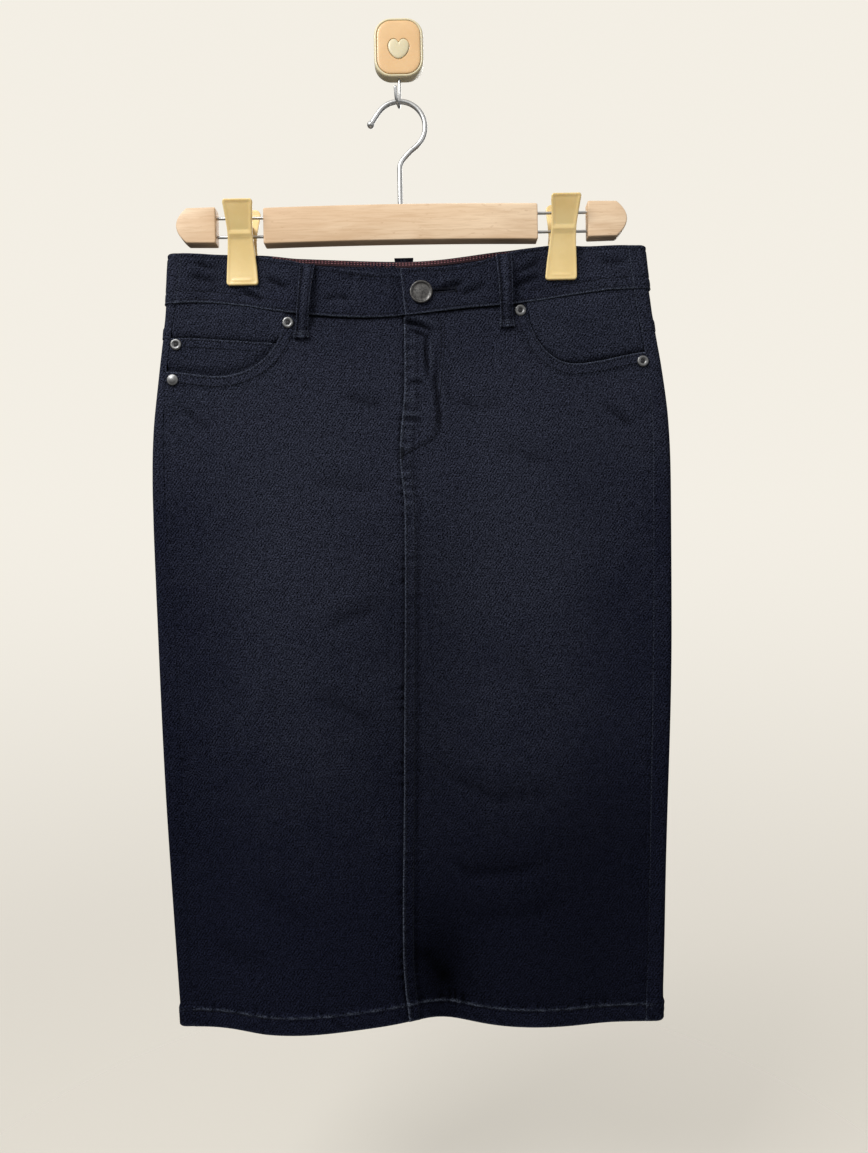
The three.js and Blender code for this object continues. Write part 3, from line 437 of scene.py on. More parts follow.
def yoke_seam(x):
    return mix(106, 67, np.clip(np.abs(x - CENTRE_BACK_X) / 190, 0, 1))


def hem(x):
    return SKIRT_LENGTH + 0.005 * x


POCKETS = {"left": (-98, 47, -151, 98, 93.5), "right": (94, 42, 131, 92.8, 84)}


def pocket_mouth(side, x):
    """The scooped mouth: a quarter of an ellipse, then a nearly straight run."""
    start_x, start_depth, low_x, low_depth, end_depth = POCKETS[side]
    outward = -1 if side == "left" else 1
    run = (np.asarray(x, float) - start_x) * outward
    width = (low_x - start_x) * outward
    part = 1 - np.clip(run / width, 0, 1)
    curve = start_depth + (low_depth - start_depth) * np.sqrt(np.clip(1 - part * part, 0, 1))
    rest = mix(low_depth, end_depth, smooth(0, 1, (run - width) / (195 - abs(low_x))))
    return np.where(run <= 0, 0, np.where(run < width, curve, rest))


print("girth at the hip:", round(float(2 * half_girth(190))), "mm")

# %% [markdown]
# ## Creases and puckers
# Cloth that has been worn and clipped is never even. The main creases are placed one by one, each
# as a soft trough with a low ridge beside it, uneven in length and depth. Small puckers run
# along every stitched seam, where the thread has drawn the cloth together. A broad, shallow
# waviness stops the panels from looking like sheet metal. All of it is height in the mesh.

# %% Height rules
FRONT_CREASES = [
    # path of x and depth, half width, height
    ([(-8, 56), (1, 58.5), (10, 61), (24, 67)], 2.4, -1.9),
    ([(-3, 63), (7, 66), (20, 72)], 2.0, -1.2),
    ([(13.5, 66), (13, 80), (13.5, 92), (14, 106)], 1.7, -1.7),
    ([(21, 84), (20, 104), (22, 130), (20, 146)], 2.4, -1.1),
    ([(-4, 104), (6, 105), (13, 108)], 2.0, -0.9),
    ([(-6, 134), (4, 136), (12, 134)], 2.0, -0.9),
    ([(54, 164), (86, 162), (130, 177)], 8, -0.7),
    ([(-89, 181), (-49, 187), (-13, 192)], 8, -0.8),
    ([(72, 311), (91, 337), (105, 363), (122, 395)], 8, -1.0),
    ([(3, 397), (30, 420), (65, 435), (97, 430), (123, 407)], 9, -1.1),
    ([(9, 476), (41, 494), (80, 490), (120, 478)], 8, -1.1),
    ([(16, 516), (48, 529), (96, 522), (136, 502)], 10, -1.0),
    ([(-75, 308), (-59, 293), (-35, 285), (-15, 281)], 7, -0.9),
    ([(-92, 348), (-68, 356), (-44, 369), (-21, 389)], 8, -1.0),
    ([(-115, 324), (-122, 355), (-119, 391)], 9, 0.9),
    ([(-134, 490), (-103, 518), (-71, 539)], 10, -1.0),
    ([(-170, 537), (-143, 557), (-103, 562)], 9, -1.0),
    ([(-9, 546), (5, 565), (21, 584), (32, 602)], 12, -1.4),
    ([(150, 122), (170, 138), (186, 142)], 5, -0.8),
    ([(-187, 116), (-167, 136), (-148, 139)], 6, -0.8),
    ([(-60, 112), (-34, 121), (-12, 124)], 6, -0.6),
    ([(30, 118), (58, 126), (84, 122)], 7, -0.6),
]
BAND_CREASES = [
    ([(19, 34), (33, 31), (50, 26)], 2.4, -1.3),
    ([(37, 38), (53, 33), (65, 28)], 2.6, -1.0),
    ([(76, 33), (92, 27), (108, 20)], 3.0, -1.1),
    ([(82, 22), (97, 15), (109, 7)], 2.6, -0.9),
    ([(-173, 7), (-159, 10), (-146, 10)], 3.0, -0.8),
    ([(-177, 17), (-161, 20), (-145, 22)], 3.0, -0.8),
    ([(-135, 29), (-123, 33), (-112, 40)], 2.2, -1.2),
    ([(-116, 18), (-102, 25), (-89, 30)], 3.0, -1.1),
    ([(-62, 17), (-38, 23), (-13, 25)], 3.0, -0.7),
    ([(-72, 39), (-54, 37), (-39, 39)], 2.6, -0.7),
    ([(150, 8), (162, 13), (178, 12)], 3.0, -0.8),
]
BACK_CREASES = [
    ([(-150, 118), (-112, 134), (-66, 141), (-22, 138)], 12, -0.5),
    ([(18, 146), (58, 152), (104, 140), (142, 124)], 14, -0.6),
    ([(-158, 246), (-118, 251), (-70, 243)], 16, -0.45),
    ([(30, 262), (88, 281), (150, 284)], 15, -0.5),
    ([(-128, 340), (-84, 366), (-38, 379), (-8, 381)], 11, -0.65),
    ([(6, 402), (44, 412), (96, 406), (140, 388)], 13, -0.6),
    ([(-24, 452), (-74, 487), (-132, 504)], 15, -0.55),
    ([(58, 497), (112, 519), (162, 521)], 13, -0.6),
    ([(-10, 552), (-30, 578), (-38, 604)], 11, -0.9),
]


def crease_height(table, x, depth):
    """The sum of all creases at many places at once."""
    total = np.zeros(np.broadcast(x, depth).shape)
    for path, width, height in table:
        path = np.array(path, float)
        spans = np.hypot(*(path[1:] - path[:-1]).T)
        ends = np.concatenate([[0], np.cumsum(spans)])
        nearest = np.full(total.shape, 1e9)
        beside = np.zeros(total.shape)
        along = np.zeros(total.shape)
        for start, stop, span, from_start in zip(path[:-1], path[1:], spans, ends):
            way = (stop - start) / span
            run = (x - start[0]) * way[0] + (depth - start[1]) * way[1]
            held = np.clip(run, 0, span)
            gap_x = x - start[0] - way[0] * held
            gap_depth = depth - start[1] - way[1] * held
            gap = np.hypot(gap_x, gap_depth)
            closer = gap < nearest
            nearest = np.where(closer, gap, nearest)
            sign = np.sign(gap_x * way[1] - gap_depth * way[0])
            beside = np.where(closer, gap * sign, beside)
            along = np.where(closer, from_start + held, along)
        share = along / ends[-1]
        fade = smooth(0, 0.35, share) * (1 - smooth(0.6, 1, share))
        trough = bell(beside, width)
        ridge = bell(beside - 2.0 * width, 1.2 * width)
        total = total + height * fade * (trough - 0.5 * ridge)
    return total


def ripple(along, pitch, seed):
    """An uneven wave, as puckers are: the spacing and the height both wander."""
    turn = along / pitch + 0.45 * np.sin(2 * math.pi * along / (4.3 * pitch) + seed)
    size = 0.65 + 0.35 * np.sin(2 * math.pi * along / (6.1 * pitch) + 2.1 * seed)
    return size * np.sin(2 * math.pi * turn + seed)


def puckers(along, distance, reach, height, pitch, seed):
    return height * ripple(along, pitch, seed) * bell(distance, reach)


def strip(distance, width, height):
    """Cloth folded under beside an edge stands a little higher."""
    return height * (1 - smooth(width - 0.5, width + 1.1, distance)) * (distance > -0.5)


def hem_relief(x, depth):
    """The turned hem twists a little, which makers call roping."""
    up = hem(x) - depth
    on_hem = smooth(0, 2, up) * (1 - smooth(11, 15, up))
    rope = 0.30 * ripple(x + 1.1 * up, 9.5, 0.7) * on_hem
    seam = -0.5 * bell(up - 12.4, 0.9) + 0.35 * bell(up - 14.0, 0.9)
    return rope + seam + puckers(x, up - 14.5, 6.5, 0.42, 8.5, 1.9)


def waviness(x, depth, seed):
    """A broad, shallow unevenness."""
    slow = 0.55 * np.sin(x / 31 + 0.9 * np.sin(depth / 88 + seed) + seed)
    slow = slow + 0.40 * np.sin(depth / 41 + 1.3 * np.sin(x / 47 + seed) + 2 * seed)
    return slow * smooth(60, 150, depth)


print(len(FRONT_CREASES) + len(BAND_CREASES) + len(BACK_CREASES), "creases placed by hand")


# %% [markdown]
# ## Denim
# Denim is a twill: fine diagonal lines of blue warp over a pale weft. This one is a dark navy
# stretch denim that has been washed, so raised edges have lost colour and the thighs are
# lighter. The weave is drawn along the cloth's own girth and depth, which every mesh of this
# lesson carries, so the lines follow the cloth round its folds. Wear and wash come from the
# mesh too: each point knows how near an edge it is.
# Painted shade comes from the mesh as well: troughs, hollows and places under edges are darker.

# %% Denim recipe
def make_denim(name, deep, washed):
    material, dye = new_material(name)
    weave = dye.node("ShaderNodeAttribute", {"attribute_name": "cloth"}, None, output=1)
    state = dye.node("ShaderNodeAttribute", {"attribute_name": "state"}, None, output=1)
    girth, depth, inside = dye.parts(weave)
    wear, wash, shade = dye.parts(state)
    place = dye.vector(girth, depth, 0.0)
    slubs = dye.noise(dye.vector(girth * 0.9, depth * 0.16, 0.0), 0.6, 3.0, 0.6).ease(0.3, 0.7)
    flecks = dye.noise(place, 0.86, 2.0, 0.85).ease(0.40, 0.60)
    mottle = dye.noise(place, 0.21, 2.0, 0.7).ease(0.3, 0.7)
    clouds = dye.noise(place, 0.020, 4.0, 0.6)
    blotches = dye.noise(place, 0.11, 3.0, 0.65)
    twill = (girth * 2.5 + depth * 1.7).sine() * 0.5 + 0.5
    pale = wash * (0.70 + 0.6 * clouds) + 0.5 * (blotches - 0.5) + 0.25 * (clouds - 0.5)
    base = dye.blend(rgb(*deep), rgb(*washed), pale.ease(-0.1, 1.1))
    grain = 1.55 * flecks + 0.66 * twill + 0.16 * slubs + 0.36 * mottle - 0.30
    # Painted shade: the grain is darkened by the state's third number.
    grain_with_painted_shade = grain.maths("MAXIMUM", grain, 0.05) * (1.0 - shade)
    threads = dye.blend(base, grain_with_painted_shade, 1.0, "MULTIPLY")
    rubbed = wear * (0.45 + 0.75 * flecks)
    worn = dye.blend(threads, rgb(0.090, 0.106, 0.148), rubbed.ease(0.08, 1.15) * 0.85)
    wrong_side = dye.blend(worn, rgb(0.022, 0.027, 0.040), inside * 0.6)
    relief = twill * 0.5 + flecks * 0.9 + slubs * 0.3
    finish_material(
        dye,
        {
            "Base Color": wrong_side,
            "Roughness": 0.88 - 0.06 * slubs,
            "Specular IOR Level": 0.012,
            "Normal": dye.bump(relief, 0.00040, 1.0),
        },
    )
    return material


DENIM_CLOTH = make_denim("washed navy denim", (0.0072, 0.0086, 0.0180), (0.0208, 0.0236, 0.0378))
print("denim recipe:", len(DENIM_CLOTH.node_tree.nodes), "nodes")


# %% Pocketing, tape and threads
def make_plain_cloth(name, tone, light_tone, scale):
    """A thin plain weave: crossing threads, a little uneven."""
    material, dye = new_material(name)
    weave = dye.node("ShaderNodeAttribute", {"attribute_name": "cloth"}, None, output=1)
    girth, depth, inside = dye.parts(weave)
    threads = (girth * scale).sine() * (depth * scale).sine() * 0.5 + 0.5
    uneven = dye.noise(weave, 0.35, 3.0)
    base = dye.blend(rgb(*tone), rgb(*light_tone), threads * 0.5 + uneven * 0.5)
    grain = dye.bump(threads + uneven, 0.00012, 0.8)
    finish_material(dye, {"Base Color": base, "Roughness": 0.75 + 0.2 * uneven, "Normal": grain})
    return material


def make_thread(name, tone, light_tone):
    """Twisted sewing thread, with the twist as a fine stripe."""
    material, dye = new_material(name)
    place = dye.node("ShaderNodeTexCoord", None, None, output=3)
    x, y, z = dye.parts(place)
    twist = ((x + z) * 9000.0).sine() * 0.5 + 0.5
    uneven = dye.noise(place, 900.0, 2.0)
    base = dye.blend(rgb(*tone), rgb(*light_tone), 0.6 * twist * uneven + 0.4 * uneven)
    finish_material(
        dye, {"Base Color": base, "Roughness": 0.75 - 0.1 * twist, "Specular IOR Level": 0.12}
    )
    return material


POCKET_CLOTH = make_plain_cloth("pocketing", (0.016, 0.018, 0.026), (0.030, 0.033, 0.045), 7.0)
ZIP_CLOTH = make_plain_cloth("zip tape", (0.010, 0.011, 0.017), (0.022, 0.024, 0.034), 5.0)
NAVY_THREAD = make_thread("navy thread", (0.0015, 0.002, 0.004), (0.006, 0.008, 0.014))
ROSE_THREAD = make_thread("rose thread", (0.20, 0.06, 0.08), (0.50, 0.27, 0.29))

# %% [markdown]
# ## Making a piece of cloth
# A cut piece is a shell: an outer face and an inner face, joined round the edge. The mesh
# lines stand close together at the edges, so that the edge can be rounded as folded cloth is,
# and about two millimetres apart elsewhere, which is fine enough for creases and puckers.
# A grid was chosen over a simulation because each crease has to stay where it is on the
# real skirt.

# %% Mesh helpers
MATERIAL_OF = {"denim": DENIM_CLOTH, "pocketing": POCKET_CLOTH, "zip_tape": ZIP_CLOTH}


def add_piece(name, points, faces, material, nodes=(), attributes=None):
    """Makes a mesh from points in millimetres, hangs it on the root body and hides the CAD parts it stands
    for.
    """
    mesh = bpy.data.meshes.new(name)
    mesh.from_pydata((np.asarray(points) * MM).tolist(), [], faces)
    for key, values in (attributes or {}).items():
        layer = mesh.attributes.new(key, "FLOAT_VECTOR", "POINT")
        layer.data.foreach_set("vector", np.asarray(values, np.float32).ravel())
    mesh.materials.append(material)
    mesh.shade_smooth()
    mesh.validate()
    piece = bpy.data.objects.new(name, mesh)
    bpy.context.scene.collection.objects.link(piece)
    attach(piece, "root")
    if nodes:
        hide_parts(*nodes)
    return piece


def grid_faces(rows, columns):
    """Quads of a closed shell: outer face first, then inner face, then the rim."""
    size = rows * columns
    number = np.arange(size).reshape(rows, columns)
    a, b = number[:-1, :-1], number[1:, :-1]
    c, d = number[1:, 1:], number[:-1, 1:]
    outer = np.stack([a, b, c, d], axis=-1).reshape(-1, 4)
    inner = np.stack([a, d, c, b], axis=-1).reshape(-1, 4) + size
    rim = []
    for edge, turned in (
        (number[0, :], False),
        (number[-1, :], True),
        (number[:, 0], True),
        (number[:, -1], False),
    ):
        one, two = edge[:-1], edge[1:]
        if turned:
            one, two = two, one
        rim.append(np.stack([one, two, two + size, one + size], axis=-1))
    return np.concatenate([outer, inner, *rim])


def turned_out(points, faces):
    """Turns the faces round if the closed shell points inwards."""
    points = np.asarray(points)
    a, b, c = (points[faces[:, k]] for k in (0, 1, 2))
    d = points[faces[:, 3]]
    volume = np.einsum("ij,ij->", a, np.cross(b, c)) + np.einsum("ij,ij->", a, np.cross(c, d))
    return faces if volume > 0 else faces[:, ::-1]


def closed_shell(outer, inner):
    """Points and faces of a shell between an outer and an inner grid of points."""
    points = np.concatenate([outer.reshape(-1, 3), inner.reshape(-1, 3)])
    return points, turned_out(points, grid_faces(*outer.shape[:2])).tolist()


def tube_faces(rings, sides):
    """Quads that join rings of points, one ring after the other."""
    number = np.arange((rings - 1) * sides).reshape(-1, sides)
    turned = np.roll(number, -1, axis=1)
    return np.stack([number, turned, turned + sides, number + sides], axis=-1).reshape(-1, 4)


def mesh_lines(length, step, extra=()):
    """Shares of a length where mesh lines stand, close together at both ends."""
    close = np.array([0.0, 0.2, 0.55, 1.2])
    count = max(2, int(math.ceil((length - 2.4) / step)) + 1)
    middle = np.linspace(1.2, length - 1.2, count)
    places = np.concatenate([close, middle, length - close, np.asarray(extra, float)])
    places = np.unique(np.round(places, 3))
    keep = np.concatenate([[True], np.diff(places) > 0.12])
    return places[keep] / length


def soft_edge(distance, radius):
    """How far a rounded edge falls short of the full thickness."""
    near = np.clip(1 - distance / radius, 0, 1)
    return radius * (1 - np.sqrt(1 - near * near))


# %% Cloth piece
outer_faces = {}  # the height of each piece's outer face, for what is sewn on it


def nothing(x, depth):
    return np.zeros(np.broadcast(x, depth).shape)


def even(value):
    """A rule that gives one value everywhere."""
    return lambda x, depth: value + nothing(x, depth)


def hollow_of(height, reach=2):
    """How far each place of a height lies below the cloth around it."""
    rows, columns = height.shape
    padded = np.pad(height, reach, mode="edge")
    around = np.zeros(height.shape)
    for down in range(2 * reach + 1):
        for across in range(2 * reach + 1):
            around += padded[down : down + rows, across : across + columns]
    return around / (2 * reach + 1) ** 2 - height


def cloth(name, span, top, bottom, size, **detail):
    """A piece of cloth. span(share, depth) is the girth, top(x) and bottom(x) its ends."""
    width, length = size
    thick = detail.get("thick", even(DENIM))
    lift = detail.get("lift", nothing)
    relief = detail.get("relief", nothing)
    wash = detail.get("wash", nothing)
    # A rule of painted shade: how much the colour is darkened where shade falls.
    shade = detail.get("shade", nothing)
    worn = detail.get("worn", (0.3, 0.3, 0.3, 0.3))
    rub = detail.get("rub", nothing)
    step = detail.get("step", 2.2)
    slot = detail.get("slot", "denim")
    share = mesh_lines(width, step, detail.get("columns", ()))[None, :]
    drop = mesh_lines(length, detail.get("drop_step", step), detail.get("rows", ()))[:, None]
    depth = np.full((drop.size, share.size), float(top(0.0) + bottom(0.0)) / 2)
    for _ in range(9):
        x = shell(span(share, depth), depth)[0]
        depth = mix(top(x), bottom(x), drop)
    girth = span(share, depth)
    x = shell(girth, depth)[0]
    height = relief(x, depth)
    edges = [part + 0 * depth for part in (share * width, (1 - share) * width)]
    edges += [part + 0 * depth for part in (drop * length, (1 - drop) * length)]
    nearest = np.minimum.reduce(edges)
    full = thick(x, depth)
    fall = soft_edge(nearest, np.minimum(0.5 * full - 0.08, 0.75))
    base = lift(x, depth)
    outer = skirt_point(girth, depth, base + full + height - fall)
    inner = skirt_point(girth, depth, base + height * 0.85 + fall)
    points, faces = closed_shell(outer, inner)
    rubbed = sum(amount * bell(edge, 1.1) for amount, edge in zip(worn, edges))
    high = np.clip(height - detail.get("strip_height", 0.0), 0, 1.2) * 0.20
    high = high * np.clip(wash(x, depth), 0, 1)
    # Painted shade: hollows of the relief are darkened, on top of the piece's own painted shade.
    hollow = hollow_of(height + nothing(x, depth)) * (slot == "denim")
    ridges = 0.7 * np.clip(-hollow - 0.04, 0, 0.3)
    dark = np.clip(shade(x, depth) + 1.7 * np.clip(hollow - 0.04, 0, 0.2), 0, 0.93)
    kept = 1 - detail.get("kept_dark", nothing)(x, depth)
    wear = np.clip(kept * (rubbed + high + ridges + rub(x, depth)), 0, 1)
    state = np.stack([wear, wash(x, depth), dark], axis=-1)
    weave = np.stack([girth, depth, nothing(x, depth)], axis=-1)
    wrong_side = detail.get("wrong_side", 1.0)
    weave_inside = np.stack([girth, depth, wrong_side + nothing(x, depth)], axis=-1)
    attributes = {
        "cloth": np.concatenate([weave.reshape(-1, 3), weave_inside.reshape(-1, 3)]),
        "state": np.concatenate([state.reshape(-1, 3), state.reshape(-1, 3)]),
    }
    piece = add_piece(name, points, faces, MATERIAL_OF[slot], [detail["node"]], attributes)
    outer_faces[name] = lambda x, depth: lift(x, depth) + thick(x, depth) + relief(x, depth)
    print(f"{name}: {width:.0f} by {length:.0f} mm, {len(faces)} faces")
    return piece


# %% [markdown]
# ## Front panels
# Two front panels meet at the centre front. The right one is folded under and stitched down
# over the left, which leaves a raised strip eight millimetres wide with puckers in it. Each
# panel is scooped out at its pocket mouth, where the edge is turned under and stitched twice.
# The mouth is the panel's upper edge here, so the mesh lines run along it.

# %% Front panels
def hem_thick(x, depth):
    return mix(DENIM, HEM_THICK, smooth(-0.8, 0, depth - (hem(x) - HEM_DEPTH)))


def mouth_distance(side, x, depth):
    """How far a place lies from the pocket mouth's edge."""
    start_x, start_depth, low_x, _, _ = POCKETS[side]
    outward = -1 if side == "left" else 1
    runs = np.concatenate([np.linspace(0, abs(low_x - start_x), 60), np.linspace(40, 100, 20)])
    edge_x = start_x + outward * np.unique(runs)
    edge_depth = pocket_mouth(side, edge_x)
    edge_depth[0] = start_depth
    gaps = [np.hypot(x - ex, depth - ed) for ex, ed in zip(edge_x, edge_depth)]
    return np.minimum.reduce(gaps)


def front_wash(x, depth):
    """Where the wash has taken colour: most on the thighs, and none at the hem."""
    down = (0.8 + 0.2 * smooth(60, 110, depth)) * (1 - 0.35 * smooth(230, 330, depth))
    down = down * (1 - smooth(340, 560, depth + 0.10 * np.abs(x)))
    sides = 1 - 0.10 * smooth(118, 172, np.abs(x)) * smooth(150, 290, depth)
    thighs = bell(x + 84, 75) + bell(x - 76, 75)
    spread = mix(0.85, 0.35, smooth(110, 230, depth))
    return np.clip(down * sides * (spread + (1 - spread) * thighs), 0, 1)


FLY_CURVE_X = [28, 28, 24, 23, 22, 18, 12, 0, -7]
FLY_CURVE_DEPTH = [56, 76, 110, 130, 143, 150, 154, 160, 164]
fly_run = np.linspace(0, 8, 90)
fly_x = np.interp(fly_run, np.arange(9), FLY_CURVE_X)
fly_depth = np.interp(fly_run, np.arange(9), FLY_CURVE_DEPTH)


def fly_distance(x, depth):
    """How far a place lies from the curved stitching of the fly."""
    gaps = [np.hypot(x - at_x, depth - at_depth) for at_x, at_depth in zip(fly_x, fly_depth)]
    return np.minimum.reduce(gaps)


def front_shade(x, depth):
    """Painted shade in the troughs, the valley, along the fly and under edges; darker low down and mid-front.
    """
    low = 0.10 * smooth(330, 470, depth) + 0.22 * smooth(380, 480, depth) * smooth(-20, 60, x)
    by_fly = (1 - smooth(150, 175, depth)) * (1 - smooth(40, 60, np.abs(x)))
    middle = 0.16 * bell(x - 8, 60) * smooth(170, 250, depth)
    middle = middle * (1 - smooth(380, 470, depth))
    # Painted shade: crease troughs, the fly stitching, the valley, under the band and beside the centre seam.
    troughs = (0.05 + 0.26 * by_fly) * np.clip(-crease_height(FRONT_CREASES, x, depth), 0, 1.8)
    fly_line = 0.5 * bell(fly_distance(x, depth), 1.3) * smooth(118, 140, depth)
    valley = 0.5 * bell(x - 16, 26) * smooth(480, 570, depth)
    under_band = 0.95 * bell(depth - front_seam(x) - 0.8, 1.3)
    beside_centre = 0.5 * bell(x - centre_front(depth) + 1.6, 1.1)
    in_hem = 0.22 * smooth(16, 12, hem(x) - depth)
    lines = under_band + beside_centre + fly_line
    return np.clip(low + middle + troughs + valley + lines - in_hem, 0, 0.93)


def front_relief(side):
    def relief(x, depth):
        from_centre = x - centre_front(depth)
        height = 1.35 * crease_height(FRONT_CREASES, x, depth) + waviness(x, depth, 0.8)
        height = height + hem_relief(x, depth)
        gap = mouth_distance(side, x, depth)
        height = height + strip(gap, 8.2, 0.45) + puckers(x + depth, gap - 7.5, 4.5, 0.22, 6.5, 0.4)
        if side == "right":
            height = height + strip(from_centre, 8.2, 0.55)
            weaker = 1 - 0.55 * smooth(150, 320, depth)
            height = height + weaker * puckers(depth, from_centre - 4, 7, 0.5, 11.5, 1.3)
            height = height + puckers(depth + 0.6 * from_centre, from_centre - 5, 4, 0.34, 5.6, 0.2)
            on_fly = 1 - smooth(150, 172, depth)
            height = height + on_fly * puckers(depth, from_centre - 2, 6, 0.5, 7.3, 2.6)
            height = height + on_fly * 0.5 * (1 - smooth(24, 30, from_centre))
        else:
            height = height + puckers(depth, from_centre, 7, 0.45, 12.5, 2.2)
        below_seam = depth - front_seam(x)
        height = height + puckers(x, below_seam, 6, 0.30, 8.0, 0.9)
        side_gap = np.abs(x) - np.abs(shell(seam_girth(side, depth), depth)[0])
        return height + puckers(depth, side_gap, 7, 0.25, 14, 1.7)

    return relief


def hem_rub(x, depth):
    """The turned edge of the hem shows as a pale, broken line."""
    up = hem(x) - depth
    broken = 0.75 + 0.25 * np.sin(x / 2.3 + 2 * np.sin(x / 17))
    return 0.62 * broken * bell(up - 13.8, 1.2) + 0.3 * bell(up, 1.6)


def front_panel(side):
    is_left = side == "left"
    start_x, _, low_x, low_depth, _ = POCKETS[side]

    def span(share, depth):
        middle = centre_front(depth)
        edge = seam_girth(side, depth)
        if is_left:
            return mix(edge + JOIN, middle - JOIN, share)
        return mix(middle + JOIN, edge - JOIN, share)

    def top(x):
        return np.maximum(front_seam(x) + JOIN, pocket_mouth(side, x))

    width = 186.0
    length = SKIRT_LENGTH - PANEL_TOP
    angles = np.radians(np.arange(2, 80, 4.0))
    curve = abs(low_x) - abs(low_x - start_x) * np.cos(angles)
    middle = abs(float(centre_front(low_depth)))
    edge = abs(float(seam_girth(side, low_depth)))
    shares = (curve - (middle if is_left else -middle)) / (edge - (middle if is_left else -middle))
    columns = width * (1 - shares if is_left else shares)
    cloth(
        f"front_{side}",
        span,
        top,
        hem,
        (width, length),
        node=f"front_panel_{side}",
        thick=hem_thick,
        relief=front_relief(side),
        wash=front_wash,
        shade=front_shade,
        columns=columns,
        rows=[length - HEM_DEPTH - 0.8, length - HEM_DEPTH],
        worn=(0.15, 0.1, 0.8, 0.35) if is_left else (0.75, 0.15, 0.8, 0.35),
        kept_dark=lambda x, depth: bell(depth - front_seam(x), 2.2),
        rub=hem_rub,
        strip_height=0.5,
        step=2.1,
        drop_step=1.8,
    )


front_panel("left")
front_panel("right")


# %% [markdown]
# ## Pocket facings, coin pocket and bags
# Behind each mouth a facing of the same denim shows, sewn to the waist seam and the side
# seam. The coin pocket is a small patch on the left one, behind the mouth. The bags are thin
# pocketing and hang inside, where only a look up from the hem finds them.

# %% Pocket pieces
def coin_top(x):
    inner = POCKETS["left"][0] + 4
    return mix(73.6, 67, np.clip((inner - x) / 80, 0, 1))


def facing(side):
    is_left = side == "left"
    inner = abs(POCKETS[side][0]) - 10
    low = -2 * LAYER if is_left else -LAYER
    gap = SEAM_GAP if is_left else -SEAM_GAP

    def span(share, depth):
        edge = seam_girth(side, depth) + gap
        return mix(edge, -inner, share) if is_left else mix(inner, edge, share)

    def cover_top(x):
        return coin_top(x) if is_left else pocket_mouth(side, x)

    def relief(x, depth):
        seen = smooth(0, 7, cover_top(x) - depth)
        under = -LAYER
        if is_left:
            over_coin = smooth(1.5, 9, pocket_mouth("left", x) - depth)
            under = mix(-2 * LAYER, -1.15, over_coin)
        return mix(under, -0.2, seen) - low + 0.04 * seen * ripple(x, 9.0, 1.1)

    cloth(
        f"facing_{side}",
        span,
        lambda x: front_seam(x) + JOIN,
        lambda x: 118 + 0 * x,
        (106.0, 84.0),
        node=f"pocket_facing_{side}",
        lift=even(low),
        relief=relief,
        strip_height=4.0,
        wash=even(0.8),
        # Painted shadow just below the edge that covers the facing.
        shade=lambda x, depth: 0.65 * bell(cover_top(x) - depth, 2.2),
        worn=(0.3, 0.1, 0.2, 0.1),
    )


def coin_pocket():
    inner = POCKETS["left"][0] + 4

    def span(share, depth):
        return mix(seam_girth("left", depth) + SEAM_GAP, inner, share)

    def relief(x, depth):
        from_top = depth - coin_top(x)
        seen = smooth(1.5, 9, pocket_mouth("left", x) - depth)
        raised = (LAYER + 0.25) * seen
        return raised + strip(from_top, 7, 0.2) + puckers(x, from_top - 6, 4, 0.16, 6, 0.3)

    cloth(
        "coin_patch",
        span,
        coin_top,
        lambda x: 112 + 0 * x,
        (98.0, 42.0),
        node="coin_pocket",
        lift=even(-LAYER),
        relief=relief,
        strip_height=2.2,
        wash=even(0.75),
        worn=(0.2, 0.1, 0.55, 0.1),
        drop_step=1.6,
    )


def pocket_bag(side):
    is_left = side == "left"
    above = (2 if is_left else 1) * LAYER
    gap = SEAM_GAP if is_left else -SEAM_GAP

    def span(share, depth):
        edge = seam_girth(side, depth) + gap
        return mix(edge, -42, share) if is_left else mix(42, edge, share)

    def corner(x):
        part = np.clip((np.abs(x) - 42) / 40, 0, 1)
        return 212 - 40 * (1 - np.sqrt(np.clip(1 - (1 - part) ** 2, 0, 1)))

    cloth(
        f"bag_{side}",
        span,
        lambda x: np.maximum(front_seam(x) + JOIN, PANEL_TOP),
        corner,
        (158.0, 166.0),
        node=f"pocket_bag_{side}",
        slot="pocketing",
        thick=even(POCKETING),
        lift=even(-above - LAYER_GAP - POCKETING),
        relief=lambda x, depth: 0.25 * np.sin(x / 13 + depth / 21) - 0.25,
        step=4.0,
    )


for side in ("left", "right"):
    facing(side)
    pocket_bag(side)
coin_pocket()

# %% [markdown]
# ## Back yokes and back panels
# The back isn't in the photograph. It is made as such a skirt is made: a pointed yoke below
# the band, two panels joined down the middle with a stitched-down seam, and a short slit at
# the hem so that the wearer can step. Its creases are like those of the front.


# %% Back pieces
def back_wash(x, depth):
    seat = 1 - smooth(260, 480, depth)
    cheeks = bell(x + 82, 66) + bell(x - 78, 66)
    spread = mix(0.85, 0.3, smooth(110, 230, depth))
    return np.clip(0.9 * seat * (spread + (1 - spread) * cheeks), 0, 1)


def back_shade(x, depth):
    # Painted shade in the crease troughs; also darker towards the hem.
    low = 0.14 * smooth(330, 470, depth)
    troughs = 0.08 * np.clip(-crease_height(BACK_CREASES, x, depth), 0, 1.8)
    return np.clip(low + troughs, 0, 0.8)


def back_relief(side):
    def relief(x, depth):
        from_centre = np.abs(x - CENTRE_BACK_X)
        height = 1.35 * crease_height(BACK_CREASES, x, depth) + waviness(x, depth, 2.4)
        height = height + hem_relief(x + 40, depth)
        below_yoke = depth - yoke_seam(x)
        height = height + puckers(x, below_yoke, 6, 0.30, 9, 0.6)
        height = height + puckers(depth, from_centre - 4, 6, 0.34, 12, 1.1)
        if side == "left":
            height = height + strip(from_centre, 8.2, 0.5)
        return height

    return relief


